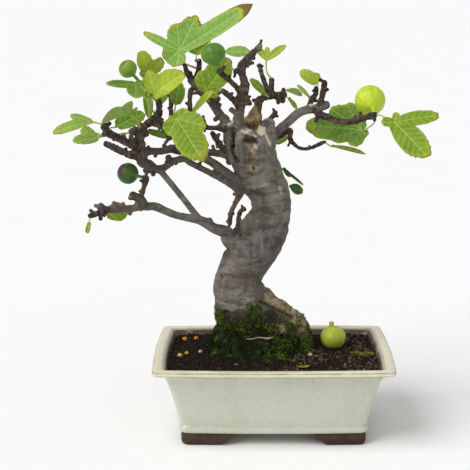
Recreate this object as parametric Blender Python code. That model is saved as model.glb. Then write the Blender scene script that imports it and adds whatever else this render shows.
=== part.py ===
"""A fig tree grown as a bonsai in a glazed ceramic pot, with its soil, moss, leaves and fruit.

Everything is placed in millimetres from the middle of the pot: X to the right, Y to the back, Z up
from a level FEET_BELOW above the table. The empty "pot_centre" carries it all to its place."""

import math

import bmesh
import bpy
import numpy as np
from mathutils import Vector, noise
from mathutils.bvhtree import BVHTree

MM = 0.001
GAP = 0.4

# Pot
RIM_LENGTH, RIM_DEPTH = 300.0, 225.0
POT_HEIGHT = 103.0
FOOT_HEIGHT = 13.0
FEET_BELOW = 2.5
BASE_LENGTH, BASE_DEPTH = 235.0, 161.0
RIM_WIDTH = 15.0
SIDE_BOW = 3.5
FLOOR_THICKNESS = 10.0
FOOT_LENGTH = 60.0
FOOT_WALL = 20.0
DRAIN_RADIUS = 12.0
DRAIN_OFFSET = 62.0
MESH_SIDE = 36.0
MESH_THICKNESS = 1.5

# Soil and its mound
SOIL_LEVEL = 94.0
MOUND_CENTRE = (-20.0, 20.0)
MOUND_RADII = (60.0, 46.0)
MOUND_HEIGHT = 34.0

# Each cushion of moss: its centre, its half width and half depth, its thickness and its unevenness.
MOSS_PATCHES = {
    "moss_mound": ((-16, -34), (58, 11), 4.0, 0.12),
    "moss_right": ((117, -5), (13, 9), 3.0, 0.3),
}

# Tree
VOXEL = 1.7
TREE_TRIANGLES = 4200

# The box of the whole object is centred on the origin by this shift of the pot.
POT_SHIFT = (32.0, 0.0)

# The crown is deeper than it is drawn here, by this share. Each point moves along its line of
# sight from in front of the tree, so that the front view keeps its outline.
CROWN_DEPTH = 1.5
SIGHT_FROM = (-25.0, -1671.0, 577.0)
STRAIGHT_BRANCHES = ("trunk", "root_right", "root_middle", "root_front", "root_left", "root_back",
                     "stub_left", "stub_right", "stub_back")

# Each branch is its centre line, as (x, y, z, radius).
BRANCHES = {
    "trunk": [(-32, 18, 72, 29), (-32, 18, 101, 30), (-34, 17, 124, 33), (-37, 16, 145, 37.5),
              (-41, 15, 166, 36), (-46, 14, 185, 31.5), (-41, 12, 204, 30), (-30, 10, 222, 30),
              (-22, 8, 238, 31), (-11, 6, 257, 30), (-3, 5, 279, 25.5), (-3, 5, 297, 25.5),
              (-7, 5, 312, 27), (-15, 5, 326, 30), (-20, 5, 340, 30), (-24, 5, 355, 30),
              (-25, 5, 370, 28)],
    "root_right": [(-34, 10, 180, 20), (-14, 11, 164, 16), (4, 11, 152, 14), (20, 10, 143, 13.5),
                   (32, 8, 133, 12), (39, 6, 117, 11), (40, 4, 88, 9)],
    "root_middle": [(-20, 12, 164, 21), (2, 10, 138, 21), (16, 8, 112, 18), (20, 6, 86, 14)],
    "root_front": [(-22, 4, 150, 18), (-4, -6, 136, 11), (9, -12, 128, 8)],
    "root_left": [(-52, 10, 156, 20), (-53, 7, 128, 14), (-56, 3, 90, 12)],
    "root_back": [(-30, 30, 152, 20), (-18, 48, 112, 13), (-12, 57, 84, 9)],
    "stub_left": [(-39, 3, 362, 19), (-49, 2, 380, 14), (-54, 2, 392, 9.5)],
    "stub_right": [(-14, 3, 365, 18), (-6, 2, 383, 12), (-5, 0, 397, 8)],
    "stub_back": [(-23, 14, 361, 19), (-21, 16, 378, 12.5), (-19, 18, 394, 7.5)],
    "arm_low": [(-42, 4, 236, 15), (-56, 0, 248, 10.8), (-60, -3, 257, 8.6), (-75, -8, 263, 6.6),
                (-86, -11, 271, 6.6), (-94, -13, 275, 6)],
    "arm_low_nub": [(-78, -8, 266, 4.4), (-81, -12, 275, 3.8)],
    "arm_out": [(-94, -13, 275, 5.7), (-109, -18, 279, 5.1), (-123, -22, 283, 4.8),
                (-136, -26, 289, 5), (-148, -30, 295, 5.2), (-161, -34, 296, 5.1)],
    "arm_out_up": [(-161, -34, 296, 5.1), (-165, -36, 305, 5.3), (-176, -40, 311, 4.8)],
    "arm_out_twig": [(-165, -36, 306, 3.3), (-163, -33, 316, 3), (-159, -28, 332, 3.7)],
    "arm_out_end": [(-161, -34, 296, 5.1), (-170, -38, 295, 4.3), (-193, -47, 295, 4.2),
                    (-209, -52, 295, 4.3), (-215, -54, 300, 4.8)],
    "arm_out_tip": [(-205, -51, 295, 3.8), (-216, -56, 292, 3.6), (-227, -60, 289, 4.1)],
    "strut": [(-94, -13, 276, 4.6), (-105, -9, 290, 4.1), (-127, -3, 317, 3.9),
              (-142, 2, 334, 4.1), (-151, 3, 339, 5.1)],
    "grey_arm": [(-34, 3, 318, 10.2), (-47, -3, 325, 7.4), (-59, -6, 334, 6.1), (-76, -5, 347, 5.7),
                 (-92, 0, 355, 5.3), (-108, 5, 358, 5.1)],
    "dark_arm": [(-42, 2, 311, 6.3), (-55, -4, 321, 4.8), (-70, -6, 329, 4.1), (-84, -7, 337, 4.1),
                 (-104, -6, 347, 4.1), (-113, -4, 352, 4.1), (-127, -1, 348, 4.3),
                 (-139, 2, 340, 4.3), (-150, 3, 338, 5.1), (-163, 5, 336, 4.3)],
    "dark_arm_stub": [(-127, -1, 348, 3.8), (-133, -4, 354, 3.8)],
    "long_arm": [(-42, 5, 352, 10.2), (-57, 6, 355, 5.8), (-75, 8, 358, 4.6), (-108, 7, 360, 4.7),
                 (-122, 6, 361, 4.6), (-128, 5, 364, 5.3), (-142, 3, 361, 4.6), (-156, 0, 361, 4.8),
                 (-167, -2, 359, 5.6)],
    "stem_left": [(-151, 3, 339, 5.3), (-160, 1, 345, 6.1), (-166, -1, 349, 7.1),
                  (-168, -3, 366, 7.2), (-169, -4, 388, 6.1)],
    "stem_left_stub": [(-169, -4, 386, 5.1), (-179, -9, 388, 4.3)],
    "stem_up": [(-169, -4, 388, 5.8), (-159, 2, 396, 5.1), (-151, 8, 402, 4.6), (-145, 12, 407, 4.3),
                (-145, 15, 424, 3.6)],
    "stem_right": [(-153, 6, 399, 4.6), (-143, 2, 397, 4.3), (-136, -2, 392, 4.3),
                   (-130, -7, 379, 4.1)],
    "dark_arm_a": [(-167, -3, 363, 5.1), (-180, -12, 372, 4.7), (-200, -28, 385, 4.4),
                   (-208, -35, 393, 4.1), (-209, -37, 399, 4.1)],
    "dark_arm_b": [(-167, -2, 354, 5.1), (-179, -2, 356, 4.4), (-200, 8, 364, 4.2),
                   (-214, 16, 369, 3.9)],
    "arm_twig_up": [(-104, 7, 360, 3.6), (-115, 14, 370, 3.4), (-126, 18, 382, 3.3),
                    (-130, 24, 407, 3), (-128, 28, 449, 2.8)],
    "up_left": [(-52, 3, 380, 11.4), (-56, 4, 391, 8.1), (-61, 8, 400, 6.3), (-68, 12, 408, 5.6),
                (-77, 18, 421, 5.2), (-84, 22, 428, 4.7), (-94, 27, 436, 4.3), (-104, 32, 448, 4.6)],
    "up_left_stub": [(-104, 32, 446, 3.8), (-106, 34, 458, 3.4)],
    "up_left_fork": [(-103, 32, 446, 3.8), (-97, 36, 454, 3.3), (-94, 38, 465, 3), (-94, 39, 474, 3.3)],
    "up_left_back": [(-98, 29, 440, 3), (-105, 24, 434, 2.8), (-105, 16, 409, 2.7)],
    "up_left_side": [(-104, 32, 448, 3.6), (-109, 30, 458, 3.3), (-112, 28, 468, 3)],
    "cross_twig": [(-53, 0, 383, 3.8), (-65, -6, 390, 3), (-84, -14, 393, 3)],
    "cross_twig_up": [(-84, -14, 393, 2.7), (-88, -16, 405, 2.8)],
    "low_dark": [(-52, -2, 358, 5.1), (-63, -8, 366, 4.1), (-70, -12, 376, 3.8), (-76, -16, 386, 3.6)],
    "crown": [(-38, 2, 380, 11.4), (-44, -2, 395, 8.4), (-43, -5, 406, 6.3), (-41, -7, 415, 5.8),
              (-38, -10, 427, 5.3), (-35, -14, 442, 5.6), (-36, -16, 450, 4.8), (-40, -20, 467, 4.3),
              (-37, -22, 474, 4.2), (-27, -26, 484, 3.9), (-16, -30, 495, 3.8)],
    "crown_left": [(-38, -11, 431, 4.1), (-46, -16, 444, 3.4), (-61, -23, 458, 3.3), (-67, -26, 465, 3.6)],
    "crown_side": [(-42, -8, 418, 4.1), (-51, -14, 429, 3.8), (-63, -22, 440, 3.6)],
    "crown_stub": [(-37, -12, 434, 3.3), (-32, -18, 429, 3), (-29, -22, 423, 3)],
    "crown_nub": [(-40, -20, 466, 3.3), (-47, -24, 463, 3.2)],
    "crown_nub_b": [(-34, -24, 477, 3.3), (-28, -28, 474, 3)],
    "back_arm": [(-19, 14, 386, 8.9), (-20, 18, 401, 6.3), (-19, 21, 414, 5.1), (-16, 25, 424, 5),
                 (-5, 30, 428, 4.7), (6, 34, 429, 4.6), (16, 38, 429, 4.6)],
    "back_arm_up": [(-5, 30, 428, 3.7), (-9, 33, 441, 3.3), (-15, 38, 461, 3), (-17, 40, 467, 2.9)],
    "back_arm_twig": [(1, 32, 428, 3.6), (-1, 34, 438, 3.2), (-1, 36, 449, 3.3)],
    "back_arm_nub": [(7, 34, 428, 3.7), (14, 37, 421, 3.4)],
    "right_arm": [(-14, 4, 362, 15.2), (-7, 8, 372, 8.9), (-1, 9, 379, 6.3), (9, 11, 388, 5.8),
                  (21, 12, 398, 5.7), (31, 12, 407, 5.6), (42, 11, 412, 5.5), (57, 9, 415, 5.5),
                  (69, 7, 419, 5.3)],
    "right_arm_twig": [(46, 11, 413, 3.7), (49, 14, 424, 3.3), (55, 16, 432, 3.2), (55, 18, 440, 3.2)],
    "right_arm_tip": [(59, 9, 416, 4.1), (62, 6, 428, 3.6), (65, 2, 448, 3.8)],
    "right_arm_low": [(51, 10, 415, 4.6), (58, 6, 408, 4.3), (70, 2, 403, 3.9), (82, -2, 399, 3.9),
                      (93, -6, 398, 4.1), (105, -10, 401, 3.9), (128, -18, 409, 3.8)],
    "under_twig": [(-1, 22, 373, 5.1), (15, 30, 381, 4.3), (23, 34, 382, 4.3), (22, 38, 374, 3.3),
                   (27, 42, 366, 2.8), (36, 46, 359, 2.5), (48, 50, 358, 2.4), (69, 56, 366, 2.5)],
    "front_loop": [(-38, -22, 317, 5.1), (-47, -33, 300, 3), (-53, -30, 287, 2.9), (-55, -14, 270, 3.3)],
    "front_twig": [(-48, -10, 259, 4.3), (-45, -24, 268, 2.9), (-42, -32, 287, 2.8), (-36, -34, 293, 2.9)],
    "top_twig": [(-10, 8, 392, 3.8), (-1, 14, 403, 2.9), (4, 18, 409, 2.8)],
}

# Each leaf: twig end of its stalk, base and tip of the blade, facing of its upper side, how far it
# folds up and arches, and its lobes as (turn in degrees to the right of the tip, length, width).
LEAVES = {
    "leaf_top_long": ((-99, 36, 464), (-119, 22, 487), (-24, 16, 546), (0.2, -0.9, 0.35), 0.10, 0.02,
                      [(0, 113, 24), (-31, 49, 26), (-62, 34, 28), (-122, 52, 11), (172, 22, 30), (130, 20, 22)]),
    "leaf_top_small": ((-94, 38, 473), (-95, 22, 484), (-78, 16, 498), (0.1, -0.75, 0.6), 0.1, 0.1,
                       [(0, 24, 15), (-68, 16, 14), (-115, 26, 12)]),
    "leaf_behind_fig": ((-47, -24, 464), (-57, -8, 487), (-32, -8, 486), (0.0, -0.8, 0.6), 0.2, 0.1,
                        [(0, 28, 16)]),
    "leaf_crown_low": ((-77, 18, 421), (-85, 8, 437), (-55, 4, 478), (-0.1, -0.95, 0.25), 0.08, 0.1,
                       [(0, 51, 32), (-52, 26, 20), (60, 20, 16)]),
    "leaf_upper_left": ((-145, 15, 424), (-156, 4, 459), (-165, -4, 489), (0.1, -0.9, 0.4), 0.06, 0.1,
                        [(0, 32, 20), (62, 26, 18), (-55, 13, 12)]),
    "leaf_left_lobed": ((-156, 4, 403), (-171, -22, 448), (-208, -40, 448), (-0.1, -0.7, 0.7), 0.08, 0.1,
                        [(0, 42, 17), (-62, 30, 24), (165, 14, 9)]),
    "leaf_folded": ((-150, 12, 408), (-148, -8, 436), (-112, -14, 460), (-0.2, -0.9, 0.4), 0.35, 0.2,
                    [(0, 46, 30), (-70, 26, 24), (60, 12, 12)]),
    "leaf_inner": ((-128, 22, 393), (-123, 10, 421), (-117, 2, 450), (0.0, -0.95, 0.3), 0.15, 0.1,
                   [(0, 31, 20)]),
    "leaf_twisted": ((-105, 17, 409), (-100, 2, 412), (-72, -6, 438), (-0.5, -0.7, 0.5), 0.5, 0.15,
                     [(0, 40, 11)]),
    "leaf_front_large": ((-130, -7, 380), (-120, -32, 406), (-83, -62, 349), (0.05, -0.86, 0.5), 0.06, 0.12,
                         [(0, 73, 38), (-42, 38, 27), (50, 25, 22), (-100, 18, 17), (100, 10, 13)]),
    "leaf_pale_arch": ((-169, -4, 388), (-178, -30, 411), (-223, -66, 402), (-0.15, 0.75, 0.65), 0.1, 0.5,
                       [(0, 50, 24), (-60, 22, 16), (170, 20, 14)]),
    "leaf_dark_left": ((-209, -37, 399), (-197, -4, 394), (-160, 12, 411), (0.1, -0.85, 0.5), 0.1, 0.15,
                       [(0, 42, 24)]),
    "leaf_far_left": ((-210, -37, 397), (-224, -44, 404), (-274, -66, 393), (0.0, -0.62, 0.78), 0.12, 0.15,
                      [(0, 53, 15), (34, 26, 15)]),
    "leaf_left_low": ((-179, -9, 386), (-221, -20, 382), (-254, -44, 375), (0.0, -0.75, 0.66), 0.1, 0.2,
                      [(0, 39, 20), (48, 22, 20), (150, 8, 9)]),
    "leaf_stem_back": ((-145, 15, 420), (-147, 28, 419), (-135, 38, 438), (0.1, -0.95, 0.2), 0.1, 0.1,
                       [(0, 25, 14)]),
    "leaf_stem_strip": ((-159, 2, 398), (-158, 20, 404), (-161, 32, 438), (0.1, -0.95, 0.2), 0.2, 0.1,
                        [(0, 36, 13)]),
    "leaf_cluster_low": ((-167, -3, 381), (-159, 14, 385), (-130, 22, 375), (0.0, -0.6, 0.8), 0.2, 0.1,
                         [(0, 33, 15)]),
    "leaf_low_left": ((-215, -54, 300), (-209, -38, 288), (-185, -32, 290), (0.0, -0.9, 0.4), 0.06, 0.1,
                      [(0, 28, 24)]),
    "leaf_crown_right": ((-4, 30, 428), (-10, 20, 432), (-30, 12, 454), (0.2, -0.9, 0.3), 0.2, 0.1,
                         [(0, 30, 10)]),
    "leaf_butterfly": ((-1, 36, 449), (-7, 32, 475), (17, 26, 493), (0.05, -0.8, 0.55), 0.2, 0.1,
                       [(0, 31, 10), (-100, 19, 9), (-55, 16, 8)]),
    "leaf_right_round": ((55, 18, 440), (56, 13, 447), (34, 8, 461), (0.1, -0.85, 0.5), 0.08, 0.1,
                         [(0, 27, 18), (60, 12, 12)]),
    "leaf_right_thin": ((50, 14, 424), (46, 22, 428), (31, 27, 442), (0.6, -0.55, 0.5), 0.3, 0.1,
                        [(0, 22, 8)]),
    "leaf_curled_pale": ((16, 38, 429), (20, 42, 434), (38, 50, 427), (0.0, 0.7, 0.7), 0.25, 0.4,
                         [(0, 23, 12)]),
    "leaf_hanging": ((16, 38, 429), (22, 44, 423), (33, 50, 408), (0.4, -0.8, 0.3), 0.4, 0.1,
                     [(0, 19, 6)]),
    "leaf_trunk_back": ((-1, 22, 372), (4, 42, 366), (22, 56, 377), (0.0, -0.8, 0.6), 0.15, 0.1,
                        [(0, 24, 14)]),
    "leaf_trunk_oval": ((18, 18, 309), (24, 28, 311), (38, 34, 304), (0.1, -0.9, 0.4), 0.1, 0.1,
                        [(0, 20, 14)]),
    "leaf_trunk_sprig": ((5, 10, 336), (15, 26, 334), (42, 22, 311), (0.1, -0.8, 0.6), 0.3, 0.05,
                         [(0, 36, 3.6), (12, 13, 7)]),
    "leaf_right_large": ((127, -17, 408), (114, 15, 386), (38, 36, 391), (0.05, -0.93, 0.36), 0.05, 0.06,
                         [(0, 78, 33), (46, 42, 30), (-22, 42, 22), (-64, 25, 22), (-125, 12, 13)]),
    "leaf_under_narrow": ((69, 56, 366), (80, 58, 360), (124, 52, 350), (0.1, -0.5, 0.85), 0.3, 0.1,
                          [(0, 45, 8)]),
    "leaf_right_end": ((128, -18, 409), (150, -30, 400), (189, -50, 359), (0.1, -0.85, 0.5), 0.05, 0.14,
                       [(0, 62, 34), (-63, 57, 20), (-128, 15, 9), (128, 16, 14)]),
    "leaf_stalk_stub": ((-227, -60, 289), (-228, -62, 279), (-231, -64, 267), (0.2, -0.95, 0.2), 0.3, 0.0,
                        [(0, 12, 6)]),
}

# Each fig: where its stalk meets the twig, its middle, and its radius.
FIGS = {
    "fig_top": ((-67, -26, 465), (-74, -22, 485), 15.0, 0.84),
    "fig_left": ((-146, 8, 424), (-181, -10, 466), 11.5, 0.9),
    "fig_low_left": ((-160, -27, 331), (-183, -14, 335), 13.2, 1.0),
    "fig_right": ((127, -16, 409), (123, 8, 424), 19.2, 0.95),
}
LOOSE_FIG = ((80, 22), 16.5)

PELLETS = {
    "pellet_back_left": (-117, 58, 4.5, 0.2),
    "pellet_back": (-103, 68, 4.0, 1.1),
    "pellet_left": (-120, -18, 4.5, 2.0),
    "pellet_left_small": (-112, -8, 3.5, 0.6),
    "pellet_pale": (-94, -9, 3.5, 1.7),
    "pellet_right": (48, -22, 3.5, 0.9),
}

GLAZE = ((0.80, 0.78, 0.66), 0.25)
SOIL = ((0.035, 0.022, 0.015), 0.95)
BARK = ((0.17, 0.15, 0.12), 0.85)
MOSS = ((0.06, 0.12, 0.02), 0.95)
LEAF = ((0.20, 0.38, 0.05), 0.5)
FIG = ((0.30, 0.45, 0.06), 0.45)
PELLET = ((0.55, 0.30, 0.08), 0.8)
PLASTIC = ((0.02, 0.02, 0.02), 0.5)


def clear_scene():
    for obj in list(bpy.data.objects):
        bpy.data.objects.remove(obj, do_unlink=True)


def material(name, look):
    found = bpy.data.materials.get(name)
    if found:
        return found
    colour, roughness = look
    made = bpy.data.materials.new(name)
    made.use_nodes = True
    shader = made.node_tree.nodes["Principled BSDF"]
    shader.inputs["Base Color"].default_value = (*colour, 1.0)
    shader.inputs["Roughness"].default_value = roughness
    return made


def add_mesh(name, points, faces, look_name=None, look=None):
    """A new object from points in millimetres, its normals outward."""
    mesh = bpy.data.meshes.new(name)
    mesh.from_pydata([tuple(c * MM for c in p) for p in points], [], faces)
    bm = bmesh.new()
    bm.from_mesh(mesh)
    bmesh.ops.recalc_face_normals(bm, faces=bm.faces)
    bm.to_mesh(mesh)
    bm.free()
    mesh.shade_smooth()
    obj = bpy.data.objects.new(name, mesh)
    bpy.context.scene.collection.objects.link(obj)
    if look_name:
        mesh.materials.append(material(look_name, look))
    return obj


def baked(obj):
    """Replaces an object's mesh by its evaluated mesh and removes its modifiers."""
    graph = bpy.context.evaluated_depsgraph_get()
    graph.update()
    mesh = bpy.data.meshes.new_from_object(obj.evaluated_get(graph))
    obj.modifiers.clear()
    obj.data = mesh
    return obj


def boolean(obj, cutter, operation):
    modifier = obj.modifiers.new(operation.lower(), "BOOLEAN")
    modifier.operation = operation
    modifier.solver = "EXACT"
    modifier.object = cutter
    return modifier


def hide(obj):
    obj.hide_render = True
    obj.display_type = "WIRE"


def keep_largest_island(obj):
    """Small slivers that a cut leaves beside the main body are removed."""
    bm = bmesh.new()
    bm.from_mesh(obj.data)
    bm.verts.ensure_lookup_table()
    unseen = set(range(len(bm.verts)))
    islands = []
    while unseen:
        stack = [unseen.pop()]
        island = set(stack)
        while stack:
            vert = bm.verts[stack.pop()]
            for edge in vert.link_edges:
                other = edge.other_vert(vert).index
                if other in unseen:
                    unseen.discard(other)
                    island.add(other)
                    stack.append(other)
        islands.append(island)
    largest = max(islands, key=len)
    bmesh.ops.delete(bm, geom=[v for v in bm.verts if v.index not in largest], context="VERTS")
    bm.to_mesh(obj.data)
    bm.free()


def loft(rings, closed_ends=True):
    """Points and quads of rings of equal length, one after another, with flat ends."""
    count = len(rings[0])
    points = [p for ring in rings for p in ring]
    faces = []
    for r in range(len(rings) - 1):
        for i in range(count):
            j = (i + 1) % count
            faces.append((r * count + i, r * count + j, (r + 1) * count + j, (r + 1) * count + i))
    if closed_ends:
        faces.append(tuple(reversed(range(count))))
        faces.append(tuple(range((len(rings) - 1) * count, len(rings) * count)))
    return points, faces


# ---- Pot ----

def pot_ring(length, depth, corner, z, bow=SIDE_BOW, corner_steps=3, side_steps=4):
    """A rectangle with round corners whose sides bow outward, anticlockwise from above."""
    half = ((length / 2 - corner), (depth / 2 - corner))
    ring = []
    signs = ((1, -1), (1, 1), (-1, 1), (-1, -1))
    for quarter, (sx, sy) in enumerate(signs):
        start = -math.pi / 2 + quarter * math.pi / 2
        for i in range(corner_steps + 1):
            turn = start + (math.pi / 2) * i / corner_steps
            ring.append((sx * half[0] + corner * math.cos(turn), sy * half[1] + corner * math.sin(turn)))
        ax, ay = ring[-1]
        nx, ny = signs[(quarter + 1) % 4]
        end = start + math.pi / 2
        bx = nx * half[0] + corner * math.cos(end)
        by = ny * half[1] + corner * math.sin(end)
        for i in range(1, side_steps):
            t = i / side_steps
            ring.append((ax + (bx - ax) * t, ay + (by - ay) * t))
    return [bowed(x, y, length, depth, bow, z) for x, y in ring]


def bowed(x, y, length, depth, bow, z):
    u, v = 2 * x / length, 2 * y / depth
    return (x + bow * u * max(0.0, 1 - v * v), y + bow * v * max(0.0, 1 - u * u), z)


def pot_size(inset):
    """Length and depth of the rim outline less an inset on every side."""
    return RIM_LENGTH - 2 * inset, RIM_DEPTH - 2 * inset


BASE_INSET = (RIM_LENGTH - BASE_LENGTH) / 2

OUTER_PROFILE = (
    (FOOT_HEIGHT, BASE_INSET + 3.0, 8.0),
    (FOOT_HEIGHT + 2.0, BASE_INSET, 9.0),
    (FOOT_HEIGHT + 8.0, BASE_INSET - 1.0, 9.0),
    (FOOT_HEIGHT + 10.5, BASE_INSET + 1.0, 8.0),
    (45.0, 28.0, 9.0),
    (70.0, 21.5, 9.5),
    (84.0, 17.5, 10.0),
    (90.0, 15.0, 10.0),
    (94.0, 10.0, 9.0),
    (96.5, 2.5, 7.0),
    (98.5, 0.0, 6.0),
    (101.5, 0.3, 6.0),
    (POT_HEIGHT, 2.0, 6.0),
)
INNER_PROFILE = (
    (POT_HEIGHT, RIM_WIDTH - 3.0, 6.0),
    (POT_HEIGHT - 1.5, RIM_WIDTH, 6.0),
    (88.0, RIM_WIDTH + 9.0, 8.0),
    (50.0, 34.0, 9.0),
    (FOOT_HEIGHT + FLOOR_THICKNESS, BASE_INSET + 10.0, 10.0),
)


def pot_body():
    rings = [pot_ring(*pot_size(inset), corner, z) for z, inset, corner in OUTER_PROFILE + INNER_PROFILE]
    points, faces = loft(rings)
    return add_mesh("pot", points, faces, "glaze", GLAZE)


def foot_skirt():
    """A low wall under the whole edge of the base, which the arches cut into four corner feet."""
    outer = [pot_ring(*pot_size(BASE_INSET + inset), 8.0, z, bow=2.0)
             for z, inset in ((-FEET_BELOW, 4.0), (1.0, 1.5), (8.0, 1.0), (FOOT_HEIGHT + 1.0, 2.0))]
    inner = [pot_ring(*pot_size(BASE_INSET + FOOT_WALL), 5.0, z, bow=0.5)
             for z in (FOOT_HEIGHT + 1.0, -FEET_BELOW)]
    rings = outer + inner
    points, faces = loft(rings, closed_ends=False)
    count = len(rings[0])
    last = (len(rings) - 1) * count
    for i in range(count):
        j = (i + 1) % count
        faces.append((last + i, last + j, j, i))
    return add_mesh("foot_skirt", points, faces)


def arch_profile(half_width):
    """Half outline of the opening between two feet, with an ogee at each end."""
    run = 22.0
    rise = FOOT_HEIGHT + FEET_BELOW + 0.2
    curve = [(half_width - run * (1 - t), rise * (1 - t) ** 1.6 * (1 + 0.9 * t)) for t in (0, 0.25, 0.5, 0.75)]
    curve.append((half_width, -2.0))
    right = [(x, min(z, rise) - FEET_BELOW) for x, z in curve]
    left = [(-x, z) for x, z in reversed(right)]
    return left + right


def arch_cutter(name, half_width, reach, along_x):
    outline = arch_profile(half_width)
    rings = []
    for side in (-reach, reach):
        rings.append([(x, side, z) if along_x else (side, x, z) for x, z in outline])
    points, faces = loft(rings)
    cutter = add_mesh(name, points, faces)
    hide(cutter)
    return cutter


def drain_cutter(name, x):
    ring = [(x + DRAIN_RADIUS * math.cos(a), DRAIN_RADIUS * math.sin(a))
            for a in np.linspace(0, 2 * math.pi, 17)[:-1]]
    points, faces = loft([[(px, py, z) for px, py in ring] for z in (5.0, 30.0)])
    cutter = add_mesh(name, points, faces)
    hide(cutter)
    return cutter


def make_pot():
    body = pot_body()
    skirt = foot_skirt()
    boolean(skirt, arch_cutter("arch_front_back", BASE_LENGTH / 2 - FOOT_LENGTH + 12, 140, True), "DIFFERENCE")
    boolean(skirt, arch_cutter("arch_sides", BASE_DEPTH / 2 - FOOT_LENGTH + 18, 180, False), "DIFFERENCE")
    hide(skirt)
    boolean(body, skirt, "UNION")
    for name, x in (("drain_left", -DRAIN_OFFSET), ("drain_right", DRAIN_OFFSET)):
        boolean(body, drain_cutter(name, x), "DIFFERENCE")
    return body


def drain_mesh(name, x):
    """A square of plastic netting over a drain hole, three openings each way."""
    cells = 7
    step = MESH_SIDE / cells
    low = FOOT_HEIGHT + FLOOR_THICKNESS + GAP
    bm = bmesh.new()
    grid = [[bm.verts.new(((x - MESH_SIDE / 2 + i * step) * MM, (-MESH_SIDE / 2 + j * step) * MM, low * MM))
             for j in range(cells + 1)] for i in range(cells + 1)]
    for i in range(cells):
        for j in range(cells):
            if i % 2 and j % 2:
                continue
            bm.faces.new((grid[i][j], grid[i + 1][j], grid[i + 1][j + 1], grid[i][j + 1]))
    raised = bmesh.ops.extrude_face_region(bm, geom=list(bm.faces))
    verts = [item for item in raised["geom"] if isinstance(item, bmesh.types.BMVert)]
    bmesh.ops.translate(bm, vec=(0, 0, MESH_THICKNESS * MM), verts=verts)
    bmesh.ops.recalc_face_normals(bm, faces=bm.faces)
    mesh = bpy.data.meshes.new(name)
    bm.to_mesh(mesh)
    bm.free()
    mesh.materials.append(material("netting", PLASTIC))
    obj = bpy.data.objects.new(name, mesh)
    bpy.context.scene.collection.objects.link(obj)
    return obj


# ---- Soil and moss ----

def smooth_step(low, high, value):
    t = min(1.0, max(0.0, (value - low) / (high - low)))
    return t * t * (3 - 2 * t)


def soil_height(x, y):
    away = math.hypot((x - MOUND_CENTRE[0]) / MOUND_RADII[0], (y - MOUND_CENTRE[1]) / MOUND_RADII[1])
    mound = MOUND_HEIGHT * (1 - smooth_step(0.72, 1.22, away))
    skirt = 5.0 * (1 - smooth_step(1.0, 1.9, away))
    lumps = 1.6 * noise.noise(Vector((x / 19, y / 19, 3.1)))
    return SOIL_LEVEL + mound + skirt + lumps


def soil_ring(scale, z=None, grow=0.0):
    length, depth = pot_size(RIM_WIDTH + 6.5)
    ring = pot_ring(length + grow, depth + grow, 8.0, 0.0)
    return [(x * scale, y * scale, soil_height(x * scale, y * scale) if z is None else z) for x, y, _ in ring]


def make_soil(tree_room):
    floor = FOOT_HEIGHT + FLOOR_THICKNESS + GAP
    wall = INNER_PROFILE[2:]
    rings = []
    for z, inset, corner in reversed(wall):
        low = floor if z < floor else z
        rings.append(pot_ring(*pot_size(inset + GAP + 0.3), corner, low))
    for scale in (1.0, 0.88, 0.76, 0.64, 0.52, 0.4, 0.28, 0.16, 0.06):
        rings.append(soil_ring(scale))
    points, faces = loft(rings)
    soil = add_mesh("soil", points, faces, "soil", SOIL)
    for side, x in (("left", -DRAIN_OFFSET), ("right", DRAIN_OFFSET)):
        boolean(soil, net_pocket(f"net_pocket_{side}", x), "DIFFERENCE")
    boolean(soil, tree_room, "DIFFERENCE")
    baked(soil)
    keep_largest_island(soil)
    return soil


def net_pocket(name, x):
    half = MESH_SIDE / 2 + GAP
    top = FOOT_HEIGHT + FLOOR_THICKNESS + GAP + MESH_THICKNESS + GAP
    corners = ((-half, -half), (half, -half), (half, half), (-half, half))
    points, faces = loft([[(x + cx, cy, z) for cx, cy in corners] for z in (top - 12, top)])
    cutter = add_mesh(name, points, faces)
    hide(cutter)
    return cutter


def grown(obj, name, amount):
    """A copy of an object grown by a little, for its neighbours to be cut by."""
    cutter = obj.copy()
    cutter.data = obj.data.copy()
    cutter.name = name
    bpy.context.scene.collection.objects.link(cutter)
    grow = cutter.modifiers.new("grow", "DISPLACE")
    grow.strength = amount * MM
    grow.mid_level = 0.0
    baked(cutter)
    hide(cutter)
    return cutter


def moss_patch(name, centre, radii, thickness, wobble, soil_room):
    """A cushion that follows the soil, thick in the middle and thin at its edge."""
    spokes, steps = 20, (0.3, 0.65, 0.88, 1.0)
    upper, lower = [], []
    for k in steps:
        top, under = [], []
        for i in range(spokes):
            turn = 2 * math.pi * i / spokes
            edge = 1 + wobble * noise.noise(Vector((2.2 * math.cos(turn), 2.2 * math.sin(turn), centre[0])))
            x = centre[0] + radii[0] * k * edge * math.cos(turn)
            y = centre[1] + radii[1] * k * edge * math.sin(turn)
            base = soil_height(x, y)
            top.append((x, y, base + thickness * math.sqrt(max(0.0, 1 - k ** 4)) + 1.2))
            under.append((x, y, base - 6.0))
        upper.append(top)
        lower.append(under)
    points, faces = loft(list(lower) + list(reversed(upper)))
    patch = add_mesh(name, points, faces, "moss", MOSS)
    boolean(patch, soil_room, "DIFFERENCE")
    baked(patch)
    keep_largest_island(patch)
    return patch


# ---- Tree ----

def smooth_path(points, step):
    """Points along a smooth curve through a branch's own points, closer than a step apart."""
    rows = [np.array(p, float) for p in points]
    rows = [2 * rows[0] - rows[1]] + rows + [2 * rows[-1] - rows[-2]]
    made = []
    for a, b, c, d in zip(rows, rows[1:], rows[2:], rows[3:]):
        pieces = max(1, int(np.linalg.norm((c - b)[:3]) / step))
        for i in range(pieces):
            t = i / pieces
            made.append(0.5 * (2 * b + (c - a) * t + (2 * a - 5 * b + 4 * c - d) * t * t
                               + (3 * b - a - 3 * c + d) * t ** 3))
    made.append(rows[-2])
    return np.array(made)


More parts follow.
